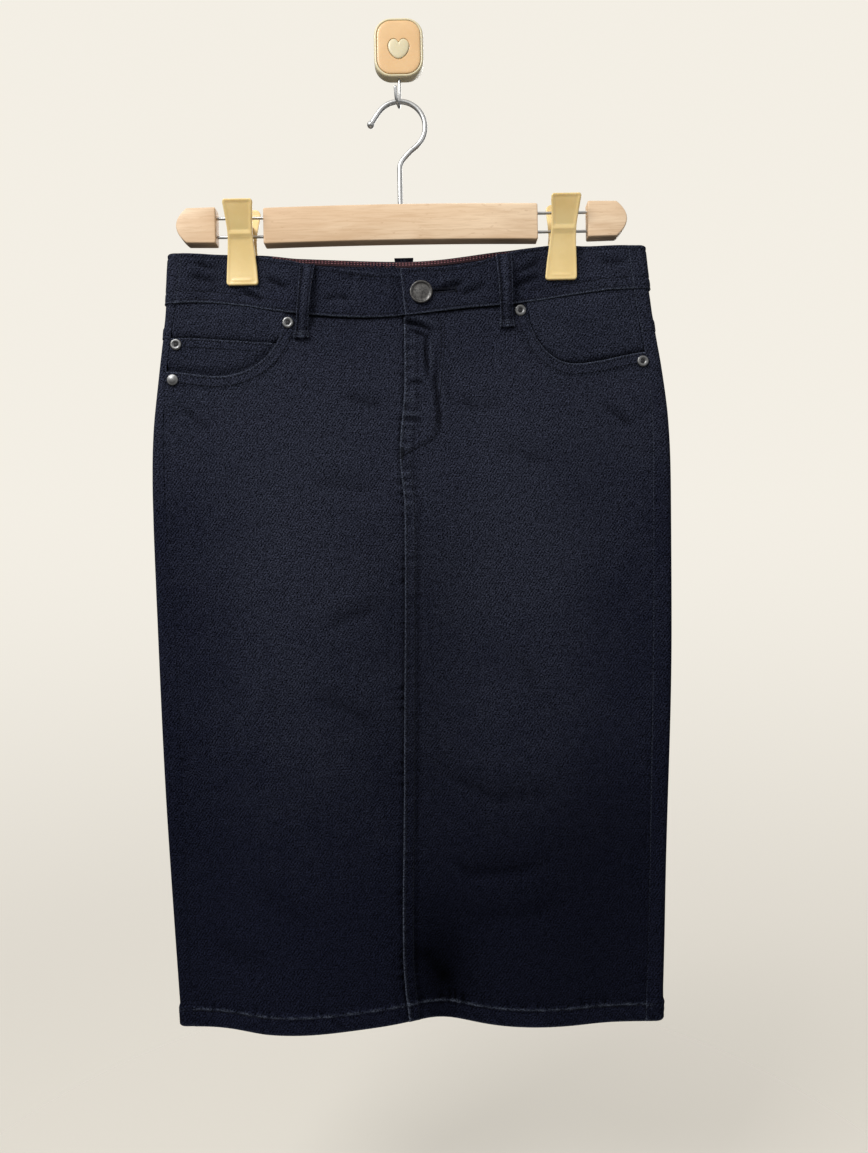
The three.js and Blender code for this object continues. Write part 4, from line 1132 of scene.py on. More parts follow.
def yoke_relief(x, depth):
    above_seam = yoke_seam(x) - depth
    height = strip(above_seam, 8.2, 0.5) + puckers(x, above_seam - 6, 5, 0.30, 9, 2.0)
    height = height + puckers(x, depth - back_seam(x), 5, 0.25, 8, 0.5)
    return height + puckers(depth, np.abs(x - CENTRE_BACK_X) - 4, 5, 0.25, 10, 0.2)


def back_span(side, opening):
    """The girths of a back piece, from the centre back round the side fold to the side seam."""

    def span(share, depth):
        middle = back_girth(CENTRE_BACK_X, depth)
        if side == "left":
            return mix(middle + opening(depth), seam_girth("left", depth) - JOIN, share)
        centre = 2 * half_girth(depth) + middle - opening(depth)
        return mix(seam_girth("right", depth) + JOIN, centre, share)

    return span


def fold_columns(side, width):
    """Extra mesh lines where a back piece turns round the side fold."""
    from_edge = np.arange(2, 36, 1.1)
    return width - from_edge if side == "left" else from_edge


def yoke(side):
    width = 214.0
    cloth(
        f"yoke_{side}",
        back_span(side, lambda depth: JOIN + 0 * depth),
        lambda x: back_seam(x) + JOIN,
        lambda x: yoke_seam(x) - JOIN,
        (width, 64.0),
        node=f"back_yoke_{side}",
        relief=yoke_relief,
        wash=even(0.8),
        columns=fold_columns(side, width),
        worn=(0.5, 0.3, 0.2, 0.6),
        drop_step=1.5,
        strip_height=0.4,
    )


def back_panel(side):
    width = 216.0
    length = SKIRT_LENGTH - 88
    cloth(
        f"back_{side}",
        back_span(side, lambda depth: 3.5 * smooth(458, SKIRT_LENGTH, depth) + JOIN),
        lambda x: yoke_seam(x) + JOIN,
        hem,
        (width, length),
        node=f"back_panel_{side}",
        thick=hem_thick,
        relief=back_relief(side),
        wash=back_wash,
        shade=back_shade,
        columns=fold_columns(side, width),
        rows=[length - HEM_DEPTH - 0.8, length - HEM_DEPTH],
        worn=(0.4, 0.2, 0.2, 0.35),
        rub=hem_rub,
        strip_height=0.5,
        step=2.8,
    )


for side in ("left", "right"):
    yoke(side)
    back_panel(side)


# %% [markdown]
# ## The waistband
# The band is two layers of denim with a stitched edge. Its left front piece runs on behind
# the right one and carries the button, and the right one has the buttonhole. One long piece
# goes round the back. The clips press it, so it has small slanting creases beside them, and
# a row of stitches draws a groove along the top and the bottom edge.

# %% Waistband pieces
UNDERLAP_END = 32.0
BUTTON_X, BUTTON_DEPTH = 10.8, 35.0
HOLE_END, HOLE_RISE = 37.5, 2.0


def band_relief(top, seam, creases, seed):
    def relief(x, depth):
        from_top = depth - top(x)
        from_seam = seam(x) - depth
        groove = -0.42 * bell(from_top - 3.0, 0.8)
        groove = groove - 0.30 * bell(from_seam - 2.4, 0.7)
        outer_part = smooth(96, 106, np.abs(x + 6))
        groove = groove - 0.38 * outer_part * bell(from_seam - 9.2, 0.8)
        height = groove + 1.4 * crease_height(creases, x, depth)
        height = height + puckers(x, from_seam - 4, 4.5, 0.26, 7.5, seed)
        height = height + puckers(x, from_top - 5, 5.5, 0.20, 9.5, seed + 1)
        return height + 0.3 * np.sin(x / 17 + 1.4 * np.sin(depth / 15 + seed))

    return relief


def band_shade(x, depth):
    # Painted shade in the band's crease troughs.
    return 0.16 * np.clip(-crease_height(BAND_CREASES, x, depth), 0, 1.6)


def left_band_top(x):
    behind = float(front_top(30.0)) + 1
    return mix(front_top(np.minimum(x, -4)), behind, smooth(-8, 10, x))


def band_wash(x, depth):
    return 0.62 + 0.2 * smooth(95, 150, np.abs(x)) + nothing(x, depth)


def band_front_left():
    def span(share, depth):
        return mix(seam_girth("left", depth) + JOIN, UNDERLAP_END, share)

    cloth(
        "band_front_left",
        span,
        left_band_top,
        lambda x: front_seam(x) - smooth(-12, -6, x),
        (217.0, 43.0),
        node="waistband_front_left",
        thick=even(BAND),
        wrong_side=0.0,
        lift=lambda x, depth: -(BAND + SEAM_GAP) * smooth(-13, -6.5, x) + nothing(x, depth),
        relief=band_relief(left_band_top, front_seam, BAND_CREASES, 0.5),
        shade=band_shade,
        wash=band_wash,
        worn=(0.5, 0.1, 0.45, 0.95),
        step=1.9,
        drop_step=0.95,
        rests_on=["clip_left_front", "clip_left_back"],
    )


def band_front_right():
    def top(x):
        return front_top(np.maximum(x, 0))

    def span(share, depth):
        end = mix(-5.4, -2.4, np.clip((depth - 17) / 35, 0, 1))
        return mix(end, seam_girth("right", depth) - JOIN, share)

    return cloth(
        "band_front_right",
        span,
        top,
        front_seam,
        (184.0, 42.0),
        node="waistband_front_right",
        thick=even(BAND),
        wrong_side=0.0,
        relief=band_relief(top, front_seam, BAND_CREASES, 1.6),
        shade=band_shade,
        wash=band_wash,
        worn=(0.8, 0.5, 0.45, 0.95),
        step=1.9,
        drop_step=0.95,
        rests_on=["clip_right_front", "clip_right_back"],
    )


def band_back():
    def span(share, depth):
        left, right = seam_girth("left", depth), seam_girth("right", depth)
        whole = left + 2 * half_girth(depth) - right
        girth = left - mix(JOIN, whole - JOIN, share)
        return np.where(girth < -half_girth(depth), girth + 2 * half_girth(depth), girth)

    width = 420.0
    turns = np.arange(2, 36, 1.1)
    cloth(
        "band_back",
        span,
        back_top,
        back_seam,
        (width, 38.5),
        node="waistband_back",
        thick=even(BAND),
        wrong_side=0.0,
        relief=band_relief(back_top, back_seam, [], 2.7),
        wash=band_wash,
        columns=np.concatenate([turns, width - turns]),
        worn=(0.5, 0.5, 0.35, 0.6),
        step=2.2,
        drop_step=0.95,
        rests_on=["clip_left_front", "clip_left_back", "clip_right_front", "clip_right_back"],
    )


band_front_left()
band_right = band_front_right()
band_back()

# %% [markdown]
# The buttonhole is a real slot in the right band, cut with a Boolean modifier that is applied
# at once, because the cut edge is plain to see beside the button.


# %% Buttonhole
def cut_slot(piece):
    centre = skirt_point(np.array(BUTTON_X), np.array(BUTTON_DEPTH), np.array(0.0))
    length = HOLE_END - BUTTON_X
    corners = []
    for y in (-8, 8):
        for across in (-0.55, 0.55):
            corners.append(centre + [0, y, across])
            corners.append(centre + [length, y, across + HOLE_RISE])
    faces = [(0, 1, 3, 2), (4, 6, 7, 5), (0, 4, 5, 1), (2, 3, 7, 6), (0, 2, 6, 4), (1, 5, 7, 3)]
    mesh = bpy.data.meshes.new("slot cutter")
    mesh.from_pydata((np.array(corners) * MM).tolist(), [], faces)
    cutter = bpy.data.objects.new("slot_cutter", mesh)
    bpy.context.scene.collection.objects.link(cutter)
    modifier = piece.modifiers.new("slot", "BOOLEAN")
    modifier.operation = "DIFFERENCE"
    modifier.object = cutter
    depsgraph = bpy.context.evaluated_depsgraph_get()
    made = bpy.data.meshes.new_from_object(piece.evaluated_get(depsgraph))
    piece.modifiers.clear()
    uncut = piece.data
    tree = KDTree(len(uncut.vertices))
    for number, vertex in enumerate(uncut.vertices):
        tree.insert(vertex.co, number)
    tree.balance()
    nearest = [tree.find(vertex.co)[1] for vertex in made.vertices]
    for key in ("cloth", "state"):
        values = np.zeros(3 * len(uncut.vertices), np.float32)
        uncut.attributes[key].data.foreach_get("vector", values)
        if key in made.attributes:
            made.attributes.remove(made.attributes[key])
        layer = made.attributes.new(key, "FLOAT_VECTOR", "POINT")
        layer.data.foreach_set("vector", values.reshape(-1, 3)[nearest].ravel())
    piece.data = made
    bpy.data.objects.remove(cutter)
    print("buttonhole cut, faces now", len(made.polygons))


cut_slot(band_right)

# %% [markdown]
# ## Belt loops
# A loop is a narrow strip with its sides folded in, stitched along both edges. Its top is
# caught under the band's edge and its foot is folded up and tacked down. It stands off the
# band far enough for a belt, so it throws a hard shadow beside it.


# %% Loops
def belt_loop(name, node, girth_at, top_depth, seam_depth, foot_depth, tilt, wide_top=0.0):
    length = foot_depth - top_depth
    rows = mesh_lines(length, 1.4)[:, None]
    columns = np.array([-1, -0.97, -0.88, -0.7, -0.35, 0, 0.35, 0.7, 0.88, 0.97, 1])[None, :]
    depth = top_depth + rows * length + 0 * columns
    wide = mix(5.9, 5.0, smooth(0, 0.55, rows)) + 0.9 * smooth(0.9, 0.93, rows)
    wide = wide + wide_top * (1 - smooth(0.02, 0.14, rows))
    girth = girth_at(depth) + wide * columns
    on_band = 1 - smooth(seam_depth - 1, seam_depth + 6, depth)
    rest = mix(DENIM, BAND, on_band) + 0.35
    is_foot = smooth(length - 6.2, length - 5.2, rows * length)
    arch = 3.6 * np.sin(math.pi * np.clip(rows * 1.12, 0, 1)) ** 0.8 * (1 - is_foot)
    lean = tilt * arch * columns * 0.28
    seam_ridge = -0.22 * bell(np.abs(columns) - 0.72, 0.1)
    bend = 0.5 * np.sin(rows * 11 + 0.6) * columns * 0.4
    inner_out = rest + arch + lean + bend * (1 - is_foot)
    thick = mix(1.5, 2.7, is_foot) + seam_ridge * (1 - is_foot)
    edge = (1 - np.abs(columns)) * 5.4
    fall = soft_edge(np.minimum(edge, np.minimum(rows, 1 - rows) * length), 0.6)
    outer = skirt_point(girth, depth, inner_out + thick - fall)
    inner = skirt_point(girth, depth, inner_out + fall * 0.8)
    points, faces = closed_shell(outer, inner)
    weave = np.stack([girth, depth, 0 * depth], axis=-1).reshape(-1, 3)
    ridge = 0.35 * bell(columns, 0.3)
    wear = 0.75 * bell(edge, 0.5) + ridge + 0.3 * is_foot + 0 * depth
    # Painted shade: darker beside the loop's edges and in the gap above its folded foot.
    folded = 0.6 * bell(rows * length - length + 6.6, 0.9)
    dark = np.clip(0.55 * bell(edge - 1.5, 0.8) + folded, 0, 0.8) + 0 * depth
    state = np.stack([wear, 0.7 + 0 * depth, dark], axis=-1).reshape(-1, 3)
    attributes = {"cloth": np.tile(weave, (2, 1)), "state": np.tile(state, (2, 1))}
    piece = add_piece(name, points, faces, DENIM_CLOTH, [node], attributes)
    length * MM
    loop_faces.append((girth_at, top_depth, foot_depth, lambda g, d: face_height(g, d)))

    def face_height(girth, depth):
        share = (depth - top_depth) / length
        return np.interp(share, rows[:, 0], (inner_out + thick)[:, 5])

    return piece


loop_faces = []

for side, top_x, foot_x, foot in (("left", -78.8, -85.3, 69.3), ("right", 76.3, 78.2, 63.5)):
    top_depth = float(front_top(top_x)) + 0.5

    def middle(depth, top_x=top_x, foot_x=foot_x, top_depth=top_depth, foot=foot):
        return mix(top_x, foot_x, (depth - top_depth) / (foot - top_depth))

    seam_at = float(front_seam(top_x))
    lean = 1.0 if side == "left" else 0.6
    name = f"loop_front_{side}"
    belt_loop(name, f"belt_loop_front_{side}", middle, top_depth, seam_at, foot, lean)

for side, loop_x in (("left", -108.0), ("centre", CENTRE_BACK_X), ("right", 102.0)):
    seam_at = float(back_seam(loop_x))
    top_depth = float(back_top(loop_x)) + (-4 if side == "centre" else 0.5)

    def middle(depth, loop_x=loop_x):
        return back_girth(loop_x, depth)

    name = f"loop_back_{side}"
    node = f"belt_loop_back_{side}"
    wide_top = 1.8 if side == "centre" else 0.0
    belt_loop(name, node, middle, top_depth, seam_at, seam_at + 13, 0.4, wide_top)
print("belt loops:", len(loop_faces))

# %% [markdown]
# ## The zip behind the fly
# The zip is hidden: a tape with two rows of teeth, and a shield of denim behind it. They are
# made simply, because they only show from inside the skirt.


# %% Zip and shield
def fly_piece(name, node, half_width, layer, slot, relief):
    def span(share, depth):
        return centre_front(depth) + mix(-half_width, half_width, share)

    return cloth(
        name,
        span,
        lambda x: 56 + 0 * x,
        lambda x: 168 + 0 * x,
        (2 * half_width, 112.0),
        node=node,
        slot=slot,
        thick=even(POCKETING),
        lift=even(-layer),
        relief=relief,
        step=1.6,
    )


def teeth(x, depth):
    beside = np.abs(x - centre_front(depth))
    return 0.35 * (1 - smooth(1.6, 2.4, beside)) * (np.sin(depth * 2 * math.pi / 3.2) > 0) - 0.35


fly_piece("zip", "fly_zip", 13.0, POCKETING + LAYER_GAP, "zip_tape", teeth)
fly_piece("shield", "fly_shield", 18.0, 2 * (POCKETING + LAYER_GAP), "denim", nothing)


# %% [markdown]
# ## Stitching
# Every seam is topstitched in navy thread. Each stitch is a short, rounded piece of thread
# that dips into the cloth at both ends, so the rows have the broken line of real sewing. All
# the stitches of a part of the skirt are one mesh. The rows are drawn in girth and depth and
# laid on the outer face of the cloth below them.

# %% Stitch maker
class Sewing:
    """Collects stitches and makes one mesh of them."""

    def __init__(self, name, thread):
        self.name = name
        self.thread = thread
        self.parts = []

    def row(self, girth, depth, face, pitch=2.9, radius=0.27, fill=0.74, rise=0.16):
        """Stitches along a path on the cloth. face gives the cloth's height at a place."""
        girth = np.asarray(girth, float) + 0 * np.asarray(depth, float)
        depth = np.asarray(depth, float) + 0 * girth
        x = shell(girth, depth)[0]
        out = face(x, depth)
        path = skirt_point(girth, depth, out)
        normal = skirt_point(girth, depth, out + 1) - path
        steps = np.linalg.norm(np.diff(path, axis=0), axis=1)
        along = np.concatenate([[0], np.cumsum(steps)])
        count = int(along[-1] / pitch)
        if count < 1:
            return
        starts = np.arange(count) * pitch + 0.5 * (along[-1] - count * pitch)
        self.place(along, path, normal, starts, starts + pitch * fill, radius, rise)

    def place(self, along, path, normal, starts, ends, radius, rise):
        def at(values, where):
            return np.stack([np.interp(where, along, values[:, k]) for k in range(3)], axis=-1)

        shape = [(0, -0.45, 0.45), (0.2, 0.75, 1.0), (0.8, 0.75, 1.0), (1, -0.45, 0.45)]
        middle = (starts + ends) / 2
        up = at(normal, middle)
        up = up / np.linalg.norm(up, axis=1, keepdims=True)
        way = at(path, ends) - at(path, starts)
        way = way / np.linalg.norm(way, axis=1, keepdims=True)
        across = np.cross(way, up)
        angles = np.linspace(0, 2 * math.pi, 5, endpoint=False)
        rings = []
        for share, height, size in shape:
            centre = at(path, mix(starts, ends, share)) + up * height * rise
            for angle in angles:
                swing = across * math.cos(angle) + up * math.sin(angle)
                rings.append(centre + swing * radius * size)
        self.parts.append(np.stack(rings, axis=1))

    def between(self, start, stop, face, count, fill=0.9, pitch_radius=0.24):
        """A tack: short stitches set side by side between two places."""
        for share in np.linspace(0, 1, count):
            girth, depth, way = start
            end_girth, end_depth, _ = stop
            middle_girth = mix(girth, end_girth, share)
            middle_depth = mix(depth, end_depth, share)
            reach = way / 2
            length = math.hypot(end_girth - girth, end_depth - depth)
            side_g = -(end_depth - depth) / length * reach
            side_d = (end_girth - girth) / length * reach
            lean = 0.3 if int(round(share * (count - 1))) % 2 else -0.3
            g = middle_girth + np.linspace(-side_g, side_g, 4) + lean
            d = middle_depth + np.linspace(-side_d, side_d, 4)
            self.row(g, d, face, pitch=way * 0.99, radius=pitch_radius, fill=fill)

    def finish(self):
        points = np.concatenate(self.parts)
        count = len(points)
        firsts = 20 * np.arange(count)[:, None, None]
        quads = (tube_faces(4, 5)[None] + firsts).reshape(-1, 4)
        caps = np.array([(4, 3, 2, 1, 0), (15, 16, 17, 18, 19)])
        caps = (caps[None] + firsts).reshape(-1, 5)
        faces = quads.tolist() + caps.tolist()
        piece = add_piece(self.name, points.reshape(-1, 3), faces, self.thread)
        print(f"{self.name}: {count} stitches")
        return piece


# %% Rows on the front
front_sewing = Sewing("stitches_front", NAVY_THREAD)
right_face = outer_faces["front_right"]
left_face = outer_faces["front_left"]

run = np.linspace(60, SKIRT_LENGTH - 1, 260)
front_sewing.row(centre_front(run) + 2.0, run, right_face)
below_fly = np.linspace(166, SKIRT_LENGTH - 1, 220)
front_sewing.row(centre_front(below_fly) + 8.0, below_fly, right_face)
front_sewing.row(fly_x, fly_depth, right_face)
front_sewing.row(fly_x - 2.4, fly_depth - 1.2, right_face)

for side, face in (("left", left_face), ("right", right_face)):
    start_x, start_depth, low_x, low_depth, _ = POCKETS[side]
    outward = -1 if side == "left" else 1
    angles = np.radians(np.linspace(4, 90, 60))
    reach, fall = abs(low_x - start_x), low_depth - start_depth
    for inset in (1.8, 8.0):
        bend_x = low_x - outward * (reach + inset) * np.cos(angles)
        bend_depth = start_depth + (fall + inset) * np.sin(angles)
        tail = np.linspace(0, 1, 30)[1:]
        tail_x = mix(low_x, outward * 187.0, tail)
        tail_depth = pocket_mouth(side, tail_x) + inset
        x = np.concatenate([bend_x, tail_x])
        depth = np.concatenate([bend_depth, tail_depth])
        shown = depth > front_seam(x) + 1
        front_sewing.row(x[shown], depth[shown], face)
    edge = outward * 181.0
    hem_x = np.linspace(float(centre_front(600.0)) + outward * 2, edge, 120)
    front_sewing.row(hem_x, hem(hem_x) - 12.6, face)

coin_face = outer_faces["coin_patch"]
coin_x = np.linspace(-184, -104, 60)
front_sewing.row(coin_x, coin_top(coin_x) + 1.8, coin_face)
front_sewing.row(coin_x, coin_top(coin_x) + 7.2, coin_face)
front_sewing.between((-7.5, 157, 5), (-7.5, 166, 5), right_face, 11)
front_sewing.finish()

# %% Rows on the band and the loops
band_sewing = Sewing("stitches_band", NAVY_THREAD)
left_x = np.linspace(-181, -9, 150)
band_left = outer_faces["band_front_left"]
band_sewing.row(left_x, left_band_top(left_x) + 3.0, band_left)
band_sewing.row(left_x, front_seam(left_x) - 2.4, band_left)
outer_x = np.linspace(-181, -98, 80)
band_sewing.row(outer_x, front_seam(outer_x) - 9.2, band_left)
right_x = np.linspace(-1, 177, 150)
band_right_face = outer_faces["band_front_right"]
band_sewing.row(right_x, front_top(np.maximum(right_x, 0)) + 3.0, band_right_face)
band_sewing.row(right_x, front_seam(right_x) - 2.4, band_right_face)
outer_x = np.linspace(98, 177, 80)
band_sewing.row(outer_x, front_seam(outer_x) - 9.2, band_right_face)
end_depth = np.linspace(20, 48, 20)
band_sewing.row(mix(-5.4, -2.4, (end_depth - 17) / 35) + 2.6, end_depth, band_right_face)

band_back_face = outer_faces["band_back"]
for back_part in (np.linspace(-192, 0, 160), np.linspace(0, 192, 160)):
    for off_top, off_seam in ((3.0, None), (None, 2.4)):
        depth = back_top(back_part) + off_top if off_top else back_seam(back_part) - off_seam
        band_sewing.row(back_girth(back_part, depth), depth, band_back_face)

hole_share = np.linspace(0, 1, 40)
for offset in (-1.5, 1.5):
    hole_x = mix(BUTTON_X + 8.6, HOLE_END - 0.3, hole_share)
    hole_rise = (hole_x - BUTTON_X) / (HOLE_END - BUTTON_X) * HOLE_RISE
    start = (hole_x[0], BUTTON_DEPTH - hole_rise[0] + offset, 1.9)
    stop = (hole_x[-1], BUTTON_DEPTH - hole_rise[-1] + offset, 1.9)
    band_sewing.between(start, stop, lambda x, d: band_right_face(x, d) + 0.12, 34)
tip = (HOLE_END + 0.5, BUTTON_DEPTH - HOLE_RISE - 2.2, 1.9)
tip_end = (HOLE_END + 0.5, BUTTON_DEPTH - HOLE_RISE + 2.2, 1.9)
band_sewing.between(tip, tip_end, band_right_face, 8)

for girth_at, top_depth, foot_depth, height in loop_faces:
    depth = np.linspace(top_depth + 2, foot_depth - 6, 50)
    for offset in (-3.6, 3.6):
        band_sewing.row(girth_at(depth) + offset, depth, height, pitch=2.6)
    for place in (foot_depth - 2.6, foot_depth - 4.4):
        middle = float(girth_at(np.array(place)))
        band_sewing.between((middle - 5, place, 1.5), (middle + 5, place, 1.5), height, 14)
band_sewing.finish()

# %% Rows on the back
back_sewing = Sewing("stitches_back", NAVY_THREAD)
for side, sign in (("left", -1), ("right", 1)):
    panel_face = outer_faces[f"back_{side}"]
    yoke_face = outer_faces[f"yoke_{side}"]
    x = np.linspace(CENTRE_BACK_X + sign * 2, sign * 196, 150)
    for above in (1.8, 8.0):
        depth = yoke_seam(x) - above
        back_sewing.row(back_girth(x, depth), depth, yoke_face)
    hem_x = np.linspace(CENTRE_BACK_X + sign * 6, sign * 188, 130)
    depth = hem(hem_x) - 12.6
    back_sewing.row(back_girth(hem_x, depth), depth, panel_face)
    depth = np.linspace(462, SKIRT_LENGTH - 14, 60)
    slit_x = CENTRE_BACK_X + sign * (12 + 0 * depth)
    back_sewing.row(back_girth(slit_x, depth), depth, panel_face)
back_left_face = outer_faces["back_left"]
depth = np.linspace(109, 456, 200)
for offset in (2.0, 8.0):
    seam_x = CENTRE_BACK_X - offset + 0 * depth
    back_sewing.row(back_girth(seam_x, depth), depth, back_left_face)
tack = back_girth(CENTRE_BACK_X - 6.0, 460.0)
back_sewing.between((float(tack) - 6, 459, 3), (float(tack) + 6, 459, 3), back_left_face, 13)
back_sewing.finish()

# %% [markdown]
# The back of the band shows between the clips. Its inner edge is bound with rose thread,
# whose small dots make a fine row under the top edge.

# %% Rose stitches inside the back band
TAPE_CLOTH = make_plain_cloth("maroon tape", (0.012, 0.003, 0.006), (0.040, 0.008, 0.014), 6.0)
rose_sewing = Sewing("stitches_rose", ROSE_THREAD)
rose_x = np.linspace(-108, 104, 200)
tape_drop = np.array([0.5, 0.8, 1.5, 3.5, 4.8, 5.1])[:, None]
tape_depth = back_top(rose_x)[None, :] + tape_drop
tape_girth = back_girth(rose_x[None, :], tape_depth)
tape_rise = np.array([0.02, 0.28, 0.35, 0.35, 0.28, 0.02])[:, None] + 0 * tape_depth
tape_in = skirt_point(tape_girth, tape_depth, -tape_rise)
tape_out = skirt_point(tape_girth, tape_depth, 0.05 + 0 * tape_depth)
tape_points, tape_faces = closed_shell(tape_in, tape_out)
tape_weave = np.stack([tape_girth, tape_depth, 0 * tape_depth], axis=-1).reshape(-1, 3)
tape_ways = {"cloth": np.tile(tape_weave, (2, 1))}
add_piece("band_tape", tape_points, tape_faces, TAPE_CLOTH, (), tape_ways)


for below in (1.7, 3.2):
    depth = back_top(rose_x) + below
    rose_sewing.row(back_girth(rose_x, depth), depth, even(-0.62), 2.6, 0.42, 0.55)
rose_sewing.finish()

# %% [markdown]
# ## Turned and moulded pieces
# The hard pieces are skins over a stack of loops: a loop is one closed line of points, and the
# next loop follows it. A round wire is a stack of circles along a curve, a button is a stack
# of circles of different size, and a moulded plate is a stack of rounded rectangles.


# %% Skin over loops
def skin(name, loops, material, nodes=(), more=()):
    """Joins loops of equal length into a closed body. more holds further stacks."""
    points, faces = [], []
    for stack in (loops, *more):
        stack = np.asarray(stack, float)
        count, sides = stack.shape[:2]
        base = len(points)
        flat = stack.reshape(-1, 3)
        quads = tube_faces(count, sides)
        first = list(range(sides))[::-1]
        last = list(range((count - 1) * sides, count * sides))
        moved = flat - flat.mean(axis=0)
        volume = sum(
            np.einsum("ij,ij->", moved[quads[:, 0]], np.cross(moved[quads[:, i]], moved[quads[:, j]]))
            for i, j in ((1, 2), (2, 3))
        )
        shapes = quads.tolist() + [first, last]
        if volume < 0:
            shapes = [shape[::-1] for shape in shapes]
        faces += [[base + k for k in shape] for shape in shapes]
        points.extend(flat.tolist())
    return add_piece(name, np.array(points), faces, material, nodes)


def curve_through(points, per_span):
    """A centripetal Catmull-Rom curve through points."""
    points = np.asarray(points, float)
    first = 2 * points[0] - points[1]
    last = 2 * points[-1] - points[-2]
    padded = np.concatenate([[first], points, [last]])
    made = []
    for i in range(len(points) - 1):
        p = padded[i : i + 4]
        knots = [0.0]
        for k in range(3):
            knots.append(knots[-1] + max(np.linalg.norm(p[k + 1] - p[k]) ** 0.5, 1e-6))
        for t in np.linspace(knots[1], knots[2], per_span, endpoint=False):
            share = [(t - knots[k]) / (knots[k + 1] - knots[k]) for k in range(3)]
            near = [mix(p[k], p[k + 1], share[k]) for k in range(3)]
            wide = [(t - knots[k]) / (knots[k + 2] - knots[k]) for k in range(2)]
            first, last = (mix(near[k], near[k + 1], wide[k]) for k in range(2))
            made.append(mix(first, last, share[1]))
    made.append(points[-1])
    return np.array(made)


def wire_loops(points, radius, sides=16, round_ends=True):
    """Circles along a curve, drawn in to a rounded point at both ends."""
    points = np.asarray(points, float)
    way = np.gradient(points, axis=0)
    way = way / np.linalg.norm(way, axis=1, keepdims=True)
    start_side = np.cross(way[0], [0.0, 1.0, 0.0])
    if np.linalg.norm(start_side) < 0.1:
        start_side = np.cross(way[0], [1.0, 0.0, 0.0])
    side = start_side / np.linalg.norm(start_side)
    angles = np.linspace(0, 2 * math.pi, sides, endpoint=False)
    sizes = np.broadcast_to(radius, len(points))
    loops = []
    for point, forward, size in zip(points, way, sizes):
        side = side - forward * np.dot(side, forward)
        side = side / np.linalg.norm(side)
        other = np.cross(forward, side)
        swing = np.outer(np.cos(angles), side) + np.outer(np.sin(angles), other)
        loops.append(point + swing * size)
    if round_ends:
        for index, forward in ((0, -way[0]), (-1, way[-1])):
            size, centre, ring = sizes[index], points[index], loops[index]
            for turn in (0.45, 0.9, 1.3):
                drawn = centre + (ring - centre) * math.cos(turn) + forward * size * math.sin(turn)
                if index == 0:
                    loops.insert(0, drawn)
                else:
                    loops.append(drawn)
    return loops


# %% [markdown]
# ## Metals, wood and plastics
# The wires are bright zinc-plated steel, drawn through a die, which leaves faint lines. The
# button is dark antiqued pewter and the rivets are paler. The wood is maple: close-grained and
# pale, with fine darker lines along the grain. The clips are a pale yellow plastic that lets
# a little light in, and the wall hook is cream and peach plastic with a moulded gloss.


# %% Metal recipes
def make_metal(name, tone, dark_tone, roughness, wear_scale, dark_share, dent):
    material, metal = new_material(name)
    place = metal.node("ShaderNodeTexCoord", None, None, output=3)
    patches = metal.noise(place, wear_scale, 4.0, 0.6)
    scratches = metal.noise(place, wear_scale * 6, 2.0, 0.7)
    tarnish = (patches * 0.7 + scratches * 0.3).ease(0.30, 0.75)
    base = metal.blend(rgb(*tone), rgb(*dark_tone), tarnish * dark_share)
    dents = metal.bump(patches * 0.6 + scratches * 0.4, dent, 0.5)
    finish_material(
        metal,
        {
            "Base Color": base,
            "Metallic": 1.0,
            "Roughness": roughness + 0.18 * tarnish,
            "Normal": dents,
        },
    )
    return material


STEEL = make_metal("zinc-plated steel", (0.55, 0.56, 0.57), (0.46, 0.46, 0.46), 0.30, 60.0, 0.4, 0.0)
PEWTER = make_metal("antiqued pewter", (0.125, 0.123, 0.122), (0.012, 0.012, 0.013), 0.38, 420.0, 1.0, 0.0002)
RIVET_METAL = make_metal("rivet metal", (0.21, 0.215, 0.22), (0.05, 0.05, 0.055), 0.34, 600.0, 0.7, 0.00008)


# %% Wood recipe
def make_maple(name):
    material, wood = new_material(name)
    place = wood.node("ShaderNodeTexCoord", None, None, output=3)
    x, y, z = wood.parts(place)
    bend = wood.noise(wood.vector(x * 6.0, y * 20.0, z * 20.0), 1.0, 3.0)
    along = wood.vector(x * 5.0, y * 60.0 + bend * 1.6, z * 60.0 + bend * 2.2)
    rings = wood.noise(along, 1.0, 4.0, 0.55)
    fibres = wood.noise(wood.vector(x * 45.0, y * 900.0, z * 900.0), 1.0, 3.0, 0.6)
    flecks = wood.noise(wood.vector(x * 160.0, y * 700.0, z * 500.0), 1.0, 2.0, 0.6).ease(0.62, 0.78)
    base = wood.blend(rgb(0.78, 0.60, 0.42), rgb(0.60, 0.41, 0.25), rings.ease(0.35, 0.70))
    base = wood.blend(base, rgb(0.48, 0.30, 0.16), (1.0 - fibres).ease(0.42, 0.75) * 0.45)
    base = wood.blend(base, rgb(0.46, 0.28, 0.15), flecks * 0.5)
    grain = wood.bump(fibres * 0.7 + rings * 0.3, 0.00012, 0.6)
    finish_material(
        wood,
        {
            "Base Color": base,
            "Roughness": 0.48 + 0.18 * fibres,
            "Specular IOR Level": 0.4,
            "Coat Weight": 0.12,
            "Coat Roughness": 0.35,
            "Normal": grain,
        },
    )
    return material


MAPLE = make_maple("pale maple")


